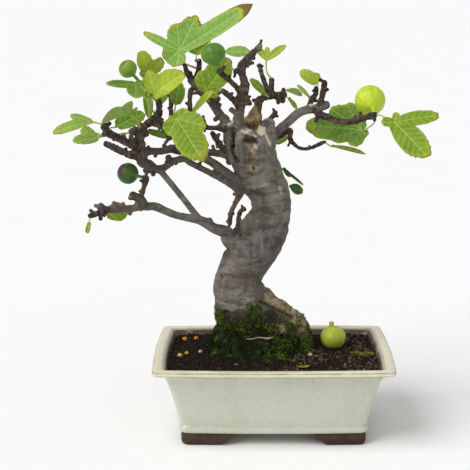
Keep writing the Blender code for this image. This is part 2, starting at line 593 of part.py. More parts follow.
def tube(path, sides):
    """A closed tube along rows of (x, y, z, radius), with rounded ends."""
    centres, radii = path[:, :3], path[:, 3]
    along = np.gradient(centres, axis=0)
    along /= np.linalg.norm(along, axis=1)[:, None]
    start = centres[0] - along[0] * radii[0] * 0.5
    end = centres[-1] + along[-1] * radii[-1] * 0.5
    centres = np.vstack([start, centres, end])
    radii = np.concatenate([[radii[0] * 0.7], radii, [radii[-1] * 0.7]])
    along = np.vstack([along[0], along, along[-1]])
    side = np.cross(along[0], (0.3, 0.5, 0.8))
    rings = []
    for centre, radius, forward in zip(centres, radii, along):
        side = side - forward * side.dot(forward)
        side /= np.linalg.norm(side)
        up = np.cross(forward, side)
        rings.append([tuple(centre + radius * (math.cos(t) * side + math.sin(t) * up))
                      for t in np.linspace(0, 2 * math.pi, sides + 1)[:-1]])
    return loft(rings)


def deepened(point):
    """The point set deeper into or out of the crown, along its line of sight."""
    share = (CROWN_DEPTH * point[1] - SIGHT_FROM[1]) / (point[1] - SIGHT_FROM[1])
    return tuple(s + (p - s) * share for p, s in zip(point, SIGHT_FROM))


def make_tree():
    points, faces = [], []
    for name, rows in BRANCHES.items():
        if name not in STRAIGHT_BRANCHES:
            rows = [deepened(row[:3]) + row[3:] for row in rows]
        big = name == "trunk"
        new_points, new_faces = tube(smooth_path(rows, 12 if big else 5), 20 if big else 10)
        offset = len(points)
        points += new_points
        faces += [tuple(i + offset for i in face) for face in new_faces]
    tree = add_mesh("tree", points, faces, "bark", BARK)
    remesh = tree.modifiers.new("union", "REMESH")
    remesh.mode = "VOXEL"
    remesh.voxel_size = VOXEL * MM
    baked(tree)
    keep_largest_island(tree)
    thin = tree.modifiers.new("thin", "DECIMATE")
    thin.ratio = TREE_TRIANGLES / (2 * len(tree.data.polygons))
    baked(tree)
    tree.data.shade_smooth()
    if not tree.data.materials:
        tree.data.materials.append(material("bark", BARK))
    return tree


# ---- Leaves ----

def lobe_half_width(t, width):
    """Half width of a lobe at a share t of its length: a narrow waist, a broad middle, a round tip."""
    t = np.clip(t, 0.0, 1.0)
    return 0.5 * width * (1 - t) ** 0.6 * (0.35 + 1.3 * t) / 0.66


def blade_reach(lobes, spokes):
    """How far the blade reaches from its base along each spoke."""
    longest = max(length for _, length, _ in lobes)
    reach = np.zeros(spokes)
    rho = np.linspace(0, longest, 160)[1:]
    for i in range(spokes):
        turn = 2 * math.pi * i / spokes
        inside = rho < 2.6
        for angle, length, width in lobes:
            away = turn - math.radians(angle)
            along, across = rho * math.cos(away), rho * math.sin(away)
            inside |= (along > 0) & (along < length) & (np.abs(across) < lobe_half_width(along / length, width))
        out = np.flatnonzero(~inside)
        reach[i] = rho[out[0]] if len(out) else longest
    return reach


def blade_point(frame, turn, rho, length, fold, arch):
    base, ahead, side, up = frame
    along, across = rho * math.cos(turn), rho * math.sin(turn)
    share = rho / length
    lift = fold * abs(across) + arch * length * share * (1 - share)
    return base + ahead * along + side * across + up * lift


def leaf_frame(base, tip, facing):
    ahead = Vector(tip) - Vector(base)
    ahead.normalize()
    up = Vector(facing)
    up -= ahead * up.dot(ahead)
    up.normalize()
    return Vector(base), ahead, ahead.cross(up), up


def stalk_path(start, frame, thickness):
    """From under the blade's base back to the twig, with a slight bow."""
    base, ahead, _, up = frame
    first = base - up * (thickness + 1.6) - ahead * 1.0
    end = Vector(start)
    reach = (end - first).length
    middle = (first + end) / 2 - ahead * min(6.0, 0.15 * reach)
    return [first, (first + middle) / 2 - ahead * 0.5, middle, (middle + end) / 2, end]


def clear_of(path, radius, tree_surface):
    """Cuts a stalk short where it would come nearer to the tree than the gap."""
    kept = [path[0]]
    for a, b in zip(path, path[1:]):
        for i in range(1, 9):
            point = a.lerp(b, i / 8)
            near = tree_surface.find_nearest(point * MM)[3]
            if near < (radius + 2 * GAP) * MM:
                kept.append(a.lerp(b, max(0, i - 1) / 8))
                return kept
        kept.append(b)
    return kept


def make_leaf(name, row, tree_surface):
    facing, fold, arch, lobes = row[3:]
    start, base, tip = (deepened(point) for point in row[:3])
    spokes, shares = (16 if len(lobes) > 2 else 12), (0.5, 1.0)
    thickness, stalk_radius, sides = 0.9, 1.1, spokes // 2
    frame = leaf_frame(base, tip, facing)
    up = frame[3]
    length = max(item[1] for item in lobes)
    reach = blade_reach(lobes, spokes)
    turns = [2 * math.pi * i / spokes for i in range(spokes)]
    upper = [[blade_point(frame, t, r * k, length, fold, arch) for t, r in zip(turns, reach)] for k in shares]
    lower = [[p - up * thickness for p in ring] for ring in upper]
    collar = [frame[0] - up * thickness + (frame[1] * math.cos(t) + frame[2] * math.sin(t)) * 1.3 for t in turns]
    rings = upper + list(reversed(lower)) + [collar]
    points, faces = loft([[tuple(p) for p in ring] for ring in rings], closed_ends=False)
    points.append(tuple(frame[0]))
    faces += [(len(points) - 1, (i + 1) % spokes, i) for i in range(spokes)]
    path = clear_of(stalk_path(start, frame, thickness), stalk_radius, tree_surface)
    first = len(points)
    turn_frame = frame[1], frame[2]
    for k, centre in enumerate(path):
        ahead = path[min(k + 1, len(path) - 1)] - path[max(k - 1, 0)]
        if k == 0:
            ahead = (ahead.normalized() - up).normalized()
        ahead.normalize()
        wide = turn_frame[0] - ahead * turn_frame[0].dot(ahead)
        wide.normalize()
        deep = wide.cross(ahead)
        if deep.dot(turn_frame[1]) < 0:
            deep.negate()
        turn_frame = wide, deep
        points += [tuple(centre + (wide * math.cos(t) + deep * math.sin(t)) * stalk_radius) for t in turns[::2]]
    ring0 = (len(rings) - 1) * spokes
    for i in range(sides):
        a, b, c = ring0 + 2 * i, ring0 + 2 * i + 1, ring0 + (2 * i + 2) % spokes
        p, q = first + i, first + (i + 1) % sides
        faces += [(a, b, p), (p, b, q), (b, c, q)]
    for k in range(len(path) - 1):
        for i in range(sides):
            j = (i + 1) % sides
            low = first + k * sides
            faces.append((low + i, low + j, low + sides + j, low + sides + i))
    last = first + (len(path) - 1) * sides
    faces.append(tuple(range(last, last + sides)))
    return add_mesh(name, points, faces, "leaf", LEAF)


# ---- Figs, pellets and the fallen piece of leaf ----

FIG_PROFILE = ((0.0, 1.0), (0.34, 0.985), (0.62, 0.83), (0.86, 0.56), (1.0, 0.2), (0.97, -0.2),
               (0.78, -0.58), (0.48, -0.86), (0.2, -1.06))
FIG_STALK_RADIUS = 2.0


def turned(profile, origin, axis, radius, segments, height=1.0):
    """A turned body whose profile runs from its eye to its stalk, as high as a share of round."""
    axis = Vector(axis).normalized()
    side = axis.orthogonal().normalized()
    deep = axis.cross(side)
    rings = []
    for r, h in profile:
        wide = max(r, 0.03) * radius
        centre = Vector(origin) + axis * h * radius * height
        rings.append([tuple(centre + side * wide * math.cos(t) + deep * wide * math.sin(t))
                      for t in np.linspace(0, 2 * math.pi, segments + 1)[:-1]])
    return loft(rings)


def make_fig(name, start, middle, radius, height, tree_surface):
    """A hanging or standing fig whose stalk stops just short of its twig."""
    middle = Vector(deepened(middle))
    start = Vector(deepened(start))
    axis = middle - start
    shoulder = middle - axis.normalized() * radius * 0.9
    end = clear_of([shoulder, start], FIG_STALK_RADIUS, tree_surface)[-1]
    stalk = FIG_STALK_RADIUS / radius
    profile = FIG_PROFILE + ((stalk, -max(1.12, (middle - end).length / (radius * height))),)
    points, faces = turned(profile, middle, axis, radius, 12, height)
    return add_mesh(name, points, faces, "fig", FIG)


def make_loose_fig():
    (x, y), radius = LOOSE_FIG
    low = soil_height(x, y) + 1.6
    profile = [(0.5, -0.9)] + [(r, -h) for r, h in FIG_PROFILE if h < 0.8] + [(0.12, 1.55)]
    points, faces = turned(profile, (x, y, low + radius * 0.92), (0, 0, 1), radius, 12)
    return add_mesh("fig_loose", points, faces, "fig", FIG)


def make_pellet(name, x, y, radius, turn):
    bm = bmesh.new()
    bmesh.ops.create_icosphere(bm, subdivisions=1, radius=radius * MM)
    low = soil_height(x, y) + radius * 0.75 + 1.6
    for vert in bm.verts:
        vert.co.z *= 0.75
        vert.co.x *= 1.2
        spun = Vector((vert.co.x * math.cos(turn) - vert.co.y * math.sin(turn),
                       vert.co.x * math.sin(turn) + vert.co.y * math.cos(turn), vert.co.z))
        vert.co = spun + Vector((x, y, low)) * MM
    mesh = bpy.data.meshes.new(name)
    bm.to_mesh(mesh)
    bm.free()
    mesh.materials.append(material("pellet", PELLET))
    obj = bpy.data.objects.new(name, mesh)
    bpy.context.scene.collection.objects.link(obj)
    return obj


def make_fallen_leaf():
    """A scrap of leaf that lies on the soil behind the front rim."""
    x, y = 38.0, -68.0
    outline = [(9, 0), (5, 4), (0, 5), (-6, 4), (-9, 1), (-4, -3), (3, -4)]
    turn = 0.3
    top = []
    for ax, ay in outline:
        px = x + ax * math.cos(turn) - ay * math.sin(turn)
        py = y + ax * math.sin(turn) + ay * math.cos(turn)
        top.append((px, py, soil_height(px, py) + 2.4 + 0.03 * ax * ax))
    low = [(px, py, z - 0.8) for px, py, z in top]
    points, faces = loft([low, top])
    return add_mesh("fallen_leaf", points, faces, "leaf", LEAF)


# ---- Everything together ----

def surface_of(obj):
    bm = bmesh.new()
    bm.from_mesh(obj.data)
    surface = BVHTree.FromBMesh(bm)
    bm.free()
    return surface


def main():
    clear_scene()
    tree = make_tree()
    tree_room = grown(tree, "tree_room", 0.9)
    tree_surface = surface_of(tree)
    make_pot()
    drain_mesh("drain_net_left", -DRAIN_OFFSET)
    drain_mesh("drain_net_right", DRAIN_OFFSET)
    soil_room = grown(make_soil(tree_room), "soil_room", 2 * GAP)
    for name, row in MOSS_PATCHES.items():
        moss_patch(name, *row, soil_room)
    for name, row in LEAVES.items():
        make_leaf(name, row, tree_surface)
    for name, (start, middle, radius, height) in FIGS.items():
        make_fig(name, start, middle, radius, height, tree_surface)
    make_loose_fig()
    for name, row in PELLETS.items():
        make_pellet(name, *row)
    make_fallen_leaf()
    centre = bpy.data.objects.new("pot_centre", None)
    bpy.context.scene.collection.objects.link(centre)
    centre.location = (POT_SHIFT[0] * MM, POT_SHIFT[1] * MM, FEET_BELOW * MM)
    for obj in bpy.data.objects:
        if obj is not centre:
            obj.parent = centre


main()
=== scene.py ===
"""A fig tree grown as a bonsai, dressed for show: bark, leaves, figs, moss, soil and glazed pot.

Lengths are in millimetres from the middle of the pot, X right, Y back, Z up from a level
FEET_BELOW above the table, and become metres in the frame when a mesh is made."""

import math

import bmesh
import bpy
import numpy as np
from mathutils import Matrix, Vector, noise
from mathutils.kdtree import KDTree

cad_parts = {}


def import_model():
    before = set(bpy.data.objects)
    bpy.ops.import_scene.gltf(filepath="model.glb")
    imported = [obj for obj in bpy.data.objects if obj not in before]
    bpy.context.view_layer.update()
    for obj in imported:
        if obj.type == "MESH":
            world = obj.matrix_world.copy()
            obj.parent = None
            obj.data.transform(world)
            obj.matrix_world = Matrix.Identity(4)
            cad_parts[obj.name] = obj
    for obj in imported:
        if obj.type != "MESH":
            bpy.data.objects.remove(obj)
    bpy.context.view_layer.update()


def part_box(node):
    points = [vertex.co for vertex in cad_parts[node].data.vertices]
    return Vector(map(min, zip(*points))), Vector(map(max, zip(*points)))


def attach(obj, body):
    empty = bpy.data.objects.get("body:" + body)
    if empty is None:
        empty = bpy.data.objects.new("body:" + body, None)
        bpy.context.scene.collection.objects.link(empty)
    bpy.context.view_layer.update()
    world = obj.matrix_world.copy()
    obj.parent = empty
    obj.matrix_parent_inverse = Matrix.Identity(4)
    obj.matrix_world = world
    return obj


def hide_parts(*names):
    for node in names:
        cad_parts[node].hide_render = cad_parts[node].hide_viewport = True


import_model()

MM = 0.001
POT_LOW, POT_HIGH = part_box("pot")

# Pot
RIM_LENGTH, RIM_DEPTH = 300.0, 225.0
POT_HEIGHT = 103.0
FOOT_HEIGHT = 13.0
FEET_BELOW = 2.5
BASE_LENGTH, BASE_DEPTH = 235.0, 161.0
RIM_WIDTH = 15.0
SIDE_BOW = 3.5
FLOOR_THICKNESS = 10.0
FOOT_LENGTH = 60.0
FOOT_WALL = 20.0
BASE_INSET = (RIM_LENGTH - BASE_LENGTH) / 2
ORIGIN = np.array([(POT_LOW[0] + POT_HIGH[0]) / 2, (POT_LOW[1] + POT_HIGH[1]) / 2,
                   POT_LOW[2] + FEET_BELOW * MM])

# Soil and its mound
SOIL_LEVEL = 94.0
MOUND_CENTRE = (-20.0, 20.0)
MOUND_RADII = (60.0, 46.0)
MOUND_HEIGHT = 34.0

CROWN_DEPTH = 1.5
SIGHT_FROM = (-25.0, -1671.0, 577.0)
STRAIGHT_BRANCHES = ("trunk", "root_right", "root_middle", "root_front", "root_left", "root_back",
                     "stub_left", "stub_right", "stub_back")

# Each branch is its centre line, as (x, y, z, radius).
BRANCHES = {
    "trunk": [(-32, 18, 72, 29), (-32, 18, 101, 30), (-34, 17, 124, 33), (-37, 16, 145, 37.5),
              (-41, 15, 166, 36), (-46, 14, 185, 31.5), (-41, 12, 204, 30), (-30, 10, 222, 30),
              (-22, 8, 238, 31), (-11, 6, 257, 30), (-3, 5, 279, 25.5), (-3, 5, 297, 25.5),
              (-7, 5, 312, 27), (-15, 5, 326, 30), (-20, 5, 340, 30), (-24, 5, 355, 30),
              (-25, 5, 370, 28)],
    "root_right": [(-34, 10, 180, 20), (-14, 11, 164, 16), (4, 11, 152, 14), (20, 10, 143, 13.5),
                   (32, 8, 133, 12), (39, 6, 117, 11), (40, 4, 88, 9)],
    "root_middle": [(-20, 12, 164, 21), (2, 10, 138, 21), (16, 8, 112, 18), (20, 6, 86, 14)],
    "root_front": [(-22, 4, 150, 18), (-4, -6, 136, 11), (9, -12, 128, 8)],
    "root_left": [(-52, 10, 156, 20), (-53, 7, 128, 14), (-56, 3, 90, 12)],
    "root_back": [(-30, 30, 152, 20), (-18, 48, 112, 13), (-12, 57, 84, 9)],
    "stub_left": [(-39, 3, 362, 19), (-49, 2, 380, 14), (-54, 2, 392, 9.5)],
    "stub_right": [(-14, 3, 365, 18), (-6, 2, 383, 12), (-5, 0, 397, 8)],
    "stub_back": [(-23, 14, 361, 19), (-21, 16, 378, 12.5), (-19, 18, 394, 7.5)],
    "arm_low": [(-42, 4, 236, 15), (-56, 0, 248, 10.8), (-60, -3, 257, 8.6), (-75, -8, 263, 6.6),
                (-86, -11, 271, 6.6), (-94, -13, 275, 6)],
    "arm_low_nub": [(-78, -8, 266, 4.4), (-81, -12, 275, 3.8)],
    "arm_out": [(-94, -13, 275, 5.7), (-109, -18, 279, 5.1), (-123, -22, 283, 4.8),
                (-136, -26, 289, 5), (-148, -30, 295, 5.2), (-161, -34, 296, 5.1)],
    "arm_out_up": [(-161, -34, 296, 5.1), (-165, -36, 305, 5.3), (-176, -40, 311, 4.8)],
    "arm_out_twig": [(-165, -36, 306, 3.3), (-163, -33, 316, 3), (-159, -28, 332, 3.7)],
    "arm_out_end": [(-161, -34, 296, 5.1), (-170, -38, 295, 4.3), (-193, -47, 295, 4.2),
                    (-209, -52, 295, 4.3), (-215, -54, 300, 4.8)],
    "arm_out_tip": [(-205, -51, 295, 3.8), (-216, -56, 292, 3.6), (-227, -60, 289, 4.1)],
    "strut": [(-94, -13, 276, 4.6), (-105, -9, 290, 4.1), (-127, -3, 317, 3.9),
              (-142, 2, 334, 4.1), (-151, 3, 339, 5.1)],
    "grey_arm": [(-34, 3, 318, 10.2), (-47, -3, 325, 7.4), (-59, -6, 334, 6.1), (-76, -5, 347, 5.7),
                 (-92, 0, 355, 5.3), (-108, 5, 358, 5.1)],
    "dark_arm": [(-42, 2, 311, 6.3), (-55, -4, 321, 4.8), (-70, -6, 329, 4.1), (-84, -7, 337, 4.1),
                 (-104, -6, 347, 4.1), (-113, -4, 352, 4.1), (-127, -1, 348, 4.3),
                 (-139, 2, 340, 4.3), (-150, 3, 338, 5.1), (-163, 5, 336, 4.3)],
    "dark_arm_stub": [(-127, -1, 348, 3.8), (-133, -4, 354, 3.8)],
    "long_arm": [(-42, 5, 352, 10.2), (-57, 6, 355, 5.8), (-75, 8, 358, 4.6), (-108, 7, 360, 4.7),
                 (-122, 6, 361, 4.6), (-128, 5, 364, 5.3), (-142, 3, 361, 4.6), (-156, 0, 361, 4.8),
                 (-167, -2, 359, 5.6)],
    "stem_left": [(-151, 3, 339, 5.3), (-160, 1, 345, 6.1), (-166, -1, 349, 7.1),
                  (-168, -3, 366, 7.2), (-169, -4, 388, 6.1)],
    "stem_left_stub": [(-169, -4, 386, 5.1), (-179, -9, 388, 4.3)],
    "stem_up": [(-169, -4, 388, 5.8), (-159, 2, 396, 5.1), (-151, 8, 402, 4.6), (-145, 12, 407, 4.3),
                (-145, 15, 424, 3.6)],
    "stem_right": [(-153, 6, 399, 4.6), (-143, 2, 397, 4.3), (-136, -2, 392, 4.3),
                   (-130, -7, 379, 4.1)],
    "dark_arm_a": [(-167, -3, 363, 5.1), (-180, -12, 372, 4.7), (-200, -28, 385, 4.4),
                   (-208, -35, 393, 4.1), (-209, -37, 399, 4.1)],
    "dark_arm_b": [(-167, -2, 354, 5.1), (-179, -2, 356, 4.4), (-200, 8, 364, 4.2),
                   (-214, 16, 369, 3.9)],
    "arm_twig_up": [(-104, 7, 360, 3.6), (-115, 14, 370, 3.4), (-126, 18, 382, 3.3),
                    (-130, 24, 407, 3), (-128, 28, 449, 2.8)],
    "up_left": [(-52, 3, 380, 11.4), (-56, 4, 391, 8.1), (-61, 8, 400, 6.3), (-68, 12, 408, 5.6),
                (-77, 18, 421, 5.2), (-84, 22, 428, 4.7), (-94, 27, 436, 4.3), (-104, 32, 448, 4.6)],
    "up_left_stub": [(-104, 32, 446, 3.8), (-106, 34, 458, 3.4)],
    "up_left_fork": [(-103, 32, 446, 3.8), (-97, 36, 454, 3.3), (-94, 38, 465, 3), (-94, 39, 474, 3.3)],
    "up_left_back": [(-98, 29, 440, 3), (-105, 24, 434, 2.8), (-105, 16, 409, 2.7)],
    "up_left_side": [(-104, 32, 448, 3.6), (-109, 30, 458, 3.3), (-112, 28, 468, 3)],
    "cross_twig": [(-53, 0, 383, 3.8), (-65, -6, 390, 3), (-84, -14, 393, 3)],
    "cross_twig_up": [(-84, -14, 393, 2.7), (-88, -16, 405, 2.8)],
    "low_dark": [(-52, -2, 358, 5.1), (-63, -8, 366, 4.1), (-70, -12, 376, 3.8), (-76, -16, 386, 3.6)],
    "crown": [(-38, 2, 380, 11.4), (-44, -2, 395, 8.4), (-43, -5, 406, 6.3), (-41, -7, 415, 5.8),
              (-38, -10, 427, 5.3), (-35, -14, 442, 5.6), (-36, -16, 450, 4.8), (-40, -20, 467, 4.3),
              (-37, -22, 474, 4.2), (-27, -26, 484, 3.9), (-16, -30, 495, 3.8)],
    "crown_left": [(-38, -11, 431, 4.1), (-46, -16, 444, 3.4), (-61, -23, 458, 3.3), (-67, -26, 465, 3.6)],
    "crown_side": [(-42, -8, 418, 4.1), (-51, -14, 429, 3.8), (-63, -22, 440, 3.6)],
    "crown_stub": [(-37, -12, 434, 3.3), (-32, -18, 429, 3), (-29, -22, 423, 3)],
    "crown_nub": [(-40, -20, 466, 3.3), (-47, -24, 463, 3.2)],
    "crown_nub_b": [(-34, -24, 477, 3.3), (-28, -28, 474, 3)],
    "back_arm": [(-19, 14, 386, 8.9), (-20, 18, 401, 6.3), (-19, 21, 414, 5.1), (-16, 25, 424, 5),
                 (-5, 30, 428, 4.7), (6, 34, 429, 4.6), (16, 38, 429, 4.6)],
    "back_arm_up": [(-5, 30, 428, 3.7), (-9, 33, 441, 3.3), (-15, 38, 461, 3), (-17, 40, 467, 2.9)],
    "back_arm_twig": [(1, 32, 428, 3.6), (-1, 34, 438, 3.2), (-1, 36, 449, 3.3)],
    "back_arm_nub": [(7, 34, 428, 3.7), (14, 37, 421, 3.4)],
    "right_arm": [(-14, 4, 362, 15.2), (-7, 8, 372, 8.9), (-1, 9, 379, 6.3), (9, 11, 388, 5.8),
                  (21, 12, 398, 5.7), (31, 12, 407, 5.6), (42, 11, 412, 5.5), (57, 9, 415, 5.5),
                  (69, 7, 419, 5.3)],
    "right_arm_twig": [(46, 11, 413, 3.7), (49, 14, 424, 3.3), (55, 16, 432, 3.2), (55, 18, 440, 3.2)],
    "right_arm_tip": [(59, 9, 416, 4.1), (62, 6, 428, 3.6), (65, 2, 448, 3.8)],
    "right_arm_low": [(51, 10, 415, 4.6), (58, 6, 408, 4.3), (70, 2, 403, 3.9), (82, -2, 399, 3.9),
                      (93, -6, 398, 4.1), (105, -10, 401, 3.9), (128, -18, 409, 3.8)],
    "under_twig": [(-1, 22, 373, 5.1), (15, 30, 381, 4.3), (23, 34, 382, 4.3), (22, 38, 374, 3.3),
                   (27, 42, 366, 2.8), (36, 46, 359, 2.5), (48, 50, 358, 2.4), (69, 56, 366, 2.5)],
    "front_loop": [(-38, -22, 317, 5.1), (-47, -33, 300, 3), (-53, -30, 287, 2.9), (-55, -14, 270, 3.3)],
    "front_twig": [(-48, -10, 259, 4.3), (-45, -24, 268, 2.9), (-42, -32, 287, 2.8), (-36, -34, 293, 2.9)],
    "top_twig": [(-10, 8, 392, 3.8), (-1, 14, 403, 2.9), (4, 18, 409, 2.8)],
}

# Each leaf: twig end of its stalk, base and tip of the blade, facing of its upper side, how far it
# folds up and arches, and its lobes as (turn in degrees to the right of the tip, length, width).
LEAVES = {
    "leaf_top_long": ((-99, 36, 464), (-119, 22, 487), (-24, 16, 546), (0.2, -0.9, 0.35), 0.10, 0.02,
                      [(0, 113, 24), (-31, 49, 26), (-62, 34, 28), (-122, 52, 11), (172, 22, 30), (130, 20, 22)]),
    "leaf_top_small": ((-94, 38, 473), (-95, 22, 484), (-78, 16, 498), (0.1, -0.75, 0.6), 0.1, 0.1,
                       [(0, 24, 15), (-68, 16, 14), (-115, 26, 12)]),
    "leaf_behind_fig": ((-47, -24, 464), (-57, -8, 487), (-32, -8, 486), (0.0, -0.8, 0.6), 0.2, 0.1,
                        [(0, 28, 16)]),
    "leaf_crown_low": ((-77, 18, 421), (-85, 8, 437), (-55, 4, 478), (-0.1, -0.95, 0.25), 0.08, 0.1,
                       [(0, 51, 32), (-52, 26, 20), (60, 20, 16)]),
    "leaf_upper_left": ((-145, 15, 424), (-156, 4, 459), (-165, -4, 489), (0.1, -0.9, 0.4), 0.06, 0.1,
                        [(0, 32, 20), (62, 26, 18), (-55, 13, 12)]),
    "leaf_left_lobed": ((-156, 4, 403), (-171, -22, 448), (-208, -40, 448), (-0.1, -0.7, 0.7), 0.08, 0.1,
                        [(0, 42, 17), (-62, 30, 24), (165, 14, 9)]),
    "leaf_folded": ((-150, 12, 408), (-148, -8, 436), (-112, -14, 460), (-0.2, -0.9, 0.4), 0.35, 0.2,
                    [(0, 46, 30), (-70, 26, 24), (60, 12, 12)]),
    "leaf_inner": ((-128, 22, 393), (-123, 10, 421), (-117, 2, 450), (0.0, -0.95, 0.3), 0.15, 0.1,
                   [(0, 31, 20)]),
    "leaf_twisted": ((-105, 17, 409), (-100, 2, 412), (-72, -6, 438), (-0.5, -0.7, 0.5), 0.5, 0.15,
                     [(0, 40, 11)]),
    "leaf_front_large": ((-130, -7, 380), (-120, -32, 406), (-83, -62, 349), (0.05, -0.86, 0.5), 0.06, 0.12,
                         [(0, 73, 38), (-42, 38, 27), (50, 25, 22), (-100, 18, 17), (100, 10, 13)]),
    "leaf_pale_arch": ((-169, -4, 388), (-178, -30, 411), (-223, -66, 402), (-0.15, 0.75, 0.65), 0.1, 0.5,
                       [(0, 50, 24), (-60, 22, 16), (170, 20, 14)]),
    "leaf_dark_left": ((-209, -37, 399), (-197, -4, 394), (-160, 12, 411), (0.1, -0.85, 0.5), 0.1, 0.15,
                       [(0, 42, 24)]),
    "leaf_far_left": ((-210, -37, 397), (-224, -44, 404), (-274, -66, 393), (0.0, -0.62, 0.78), 0.12, 0.15,
                      [(0, 53, 15), (34, 26, 15)]),
    "leaf_left_low": ((-179, -9, 386), (-221, -20, 382), (-254, -44, 375), (0.0, -0.75, 0.66), 0.1, 0.2,
                      [(0, 39, 20), (48, 22, 20), (150, 8, 9)]),
    "leaf_stem_back": ((-145, 15, 420), (-147, 28, 419), (-135, 38, 438), (0.1, -0.95, 0.2), 0.1, 0.1,
                       [(0, 25, 14)]),
    "leaf_stem_strip": ((-159, 2, 398), (-158, 20, 404), (-161, 32, 438), (0.1, -0.95, 0.2), 0.2, 0.1,
                        [(0, 36, 13)]),
    "leaf_cluster_low": ((-167, -3, 381), (-159, 14, 385), (-130, 22, 375), (0.0, -0.6, 0.8), 0.2, 0.1,
                         [(0, 33, 15)]),
    "leaf_low_left": ((-215, -54, 300), (-209, -38, 288), (-185, -32, 290), (0.0, -0.9, 0.4), 0.06, 0.1,
                      [(0, 28, 24)]),
    "leaf_crown_right": ((-4, 30, 428), (-10, 20, 432), (-30, 12, 454), (0.2, -0.9, 0.3), 0.2, 0.1,
                         [(0, 30, 10)]),
    "leaf_butterfly": ((-1, 36, 449), (-7, 32, 475), (17, 26, 493), (0.05, -0.8, 0.55), 0.2, 0.1,
                       [(0, 31, 10), (-100, 19, 9), (-55, 16, 8)]),
    "leaf_right_round": ((55, 18, 440), (56, 13, 447), (34, 8, 461), (0.1, -0.85, 0.5), 0.08, 0.1,
                         [(0, 27, 18), (60, 12, 12)]),
    "leaf_right_thin": ((50, 14, 424), (46, 22, 428), (31, 27, 442), (0.6, -0.55, 0.5), 0.3, 0.1,
                        [(0, 22, 8)]),
    "leaf_curled_pale": ((16, 38, 429), (20, 42, 434), (38, 50, 427), (0.0, 0.7, 0.7), 0.25, 0.4,
                         [(0, 23, 12)]),
    "leaf_hanging": ((16, 38, 429), (22, 44, 423), (33, 50, 408), (0.4, -0.8, 0.3), 0.4, 0.1,
                     [(0, 19, 6)]),
    "leaf_trunk_back": ((-1, 22, 372), (4, 42, 366), (22, 56, 377), (0.0, -0.8, 0.6), 0.15, 0.1,
                        [(0, 24, 14)]),
    "leaf_trunk_oval": ((18, 18, 309), (24, 28, 311), (38, 34, 304), (0.1, -0.9, 0.4), 0.1, 0.1,
                        [(0, 20, 14)]),
    "leaf_trunk_sprig": ((5, 10, 336), (15, 26, 334), (42, 22, 311), (0.1, -0.8, 0.6), 0.3, 0.05,
                         [(0, 36, 3.6), (12, 13, 7)]),
    "leaf_right_large": ((127, -17, 408), (114, 15, 386), (38, 36, 391), (0.05, -0.93, 0.36), 0.05, 0.06,
                         [(0, 78, 33), (27, 52, 30), (50, 42, 27), (-22, 42, 22), (-64, 25, 22), (-125, 12, 13)]),
    "leaf_under_narrow": ((69, 56, 366), (80, 58, 360), (124, 52, 350), (0.1, -0.5, 0.85), 0.3, 0.1,
                          [(0, 45, 8)]),
    "leaf_right_end": ((128, -18, 409), (150, -30, 400), (189, -50, 359), (0.1, -0.85, 0.5), 0.05, 0.14,
                       [(0, 62, 34), (-63, 57, 20), (-128, 15, 9), (128, 16, 14)]),
    "leaf_stalk_stub": ((-227, -60, 289), (-228, -62, 279), (-231, -64, 267), (0.2, -0.95, 0.2), 0.3, 0.0,
                        [(0, 12, 6)]),
}

# Each fig: where its stalk meets the twig, its middle, and its radius.
FIGS = {
    "fig_top": ((-67, -26, 465), (-74, -22, 485), 15.0, 0.84),
    "fig_left": ((-146, 8, 424), (-181, -10, 466), 11.5, 0.9),
    "fig_low_left": ((-160, -27, 331), (-183, -14, 335), 13.2, 1.0),
    "fig_right": ((127, -16, 409), (123, 8, 424), 19.2, 0.95),
}
LOOSE_FIG = ((80, 22), 16.5)

PELLETS = {
    "pellet_back_left": (-117, 58, 4.5, 0.2),
    "pellet_back": (-103, 68, 4.0, 1.1),
    "pellet_left": (-120, -18, 4.5, 2.0),
    "pellet_left_small": (-112, -8, 3.5, 0.6),
    "pellet_pale": (-94, -9, 3.5, 1.7),
    "pellet_right": (48, -22, 3.5, 0.9),
}

# ---- Small helpers ----

def world(points):
    """Pot millimetres as metres in the frame."""
    return ORIGIN + np.asarray(points, float) * MM


def add_mesh(name, points, faces, materials, smooth=True, recalc=True):
    """A finished piece at the origin, its place in its mesh."""
    mesh = bpy.data.meshes.new(name)
    mesh.from_pydata([tuple(p) for p in world(points)], [], [tuple(f) for f in faces])
    if recalc:
        bm = bmesh.new()
        bm.from_mesh(mesh)
        bmesh.ops.recalc_face_normals(bm, faces=bm.faces)
        bm.to_mesh(mesh)
        bm.free()
    if smooth:
        mesh.shade_smooth()
    for material in materials:
        mesh.materials.append(material)
    obj = bpy.data.objects.new(name, mesh)
    bpy.context.scene.collection.objects.link(obj)
    return obj


def paint(obj, name, values):
    """One number for each point, for a material to read by name."""
    layer = obj.data.attributes.new(name, "FLOAT", "POINT")
    layer.data.foreach_set("value", np.asarray(values, np.float32))


def positions(obj):
    """The mesh's points back in pot millimetres."""
    flat = np.empty(len(obj.data.vertices) * 3)
    obj.data.vertices.foreach_get("co", flat)
    return (flat.reshape(-1, 3) - ORIGIN) / MM


def move_points(obj, points):
    obj.data.vertices.foreach_set("co", world(points).ravel())
    obj.data.update()


def point_normals(obj):
    flat = np.empty(len(obj.data.vertices) * 3)
    obj.data.vertex_normals.foreach_get("vector", flat)
    return flat.reshape(-1, 3)


def wobble(points, size, seed=0.0):
    """Smooth noise at each point, from about -1 to 1, with features of a given size."""
    return np.array([noise.noise(Vector((p[0] / size + seed, p[1] / size, p[2] / size))) for p in points])


def smooth_step(low, high, value):
    t = np.clip((np.asarray(value, float) - low) / (high - low), 0.0, 1.0)
    return t * t * (3 - 2 * t)


def evaluated_copy(obj):
    """The object's mesh as its modifiers leave it, with the modifiers gone."""
    graph = bpy.context.evaluated_depsgraph_get()
    graph.update()
    mesh = bpy.data.meshes.new_from_object(obj.evaluated_get(graph))
    obj.modifiers.clear()
    obj.data = mesh
    return obj


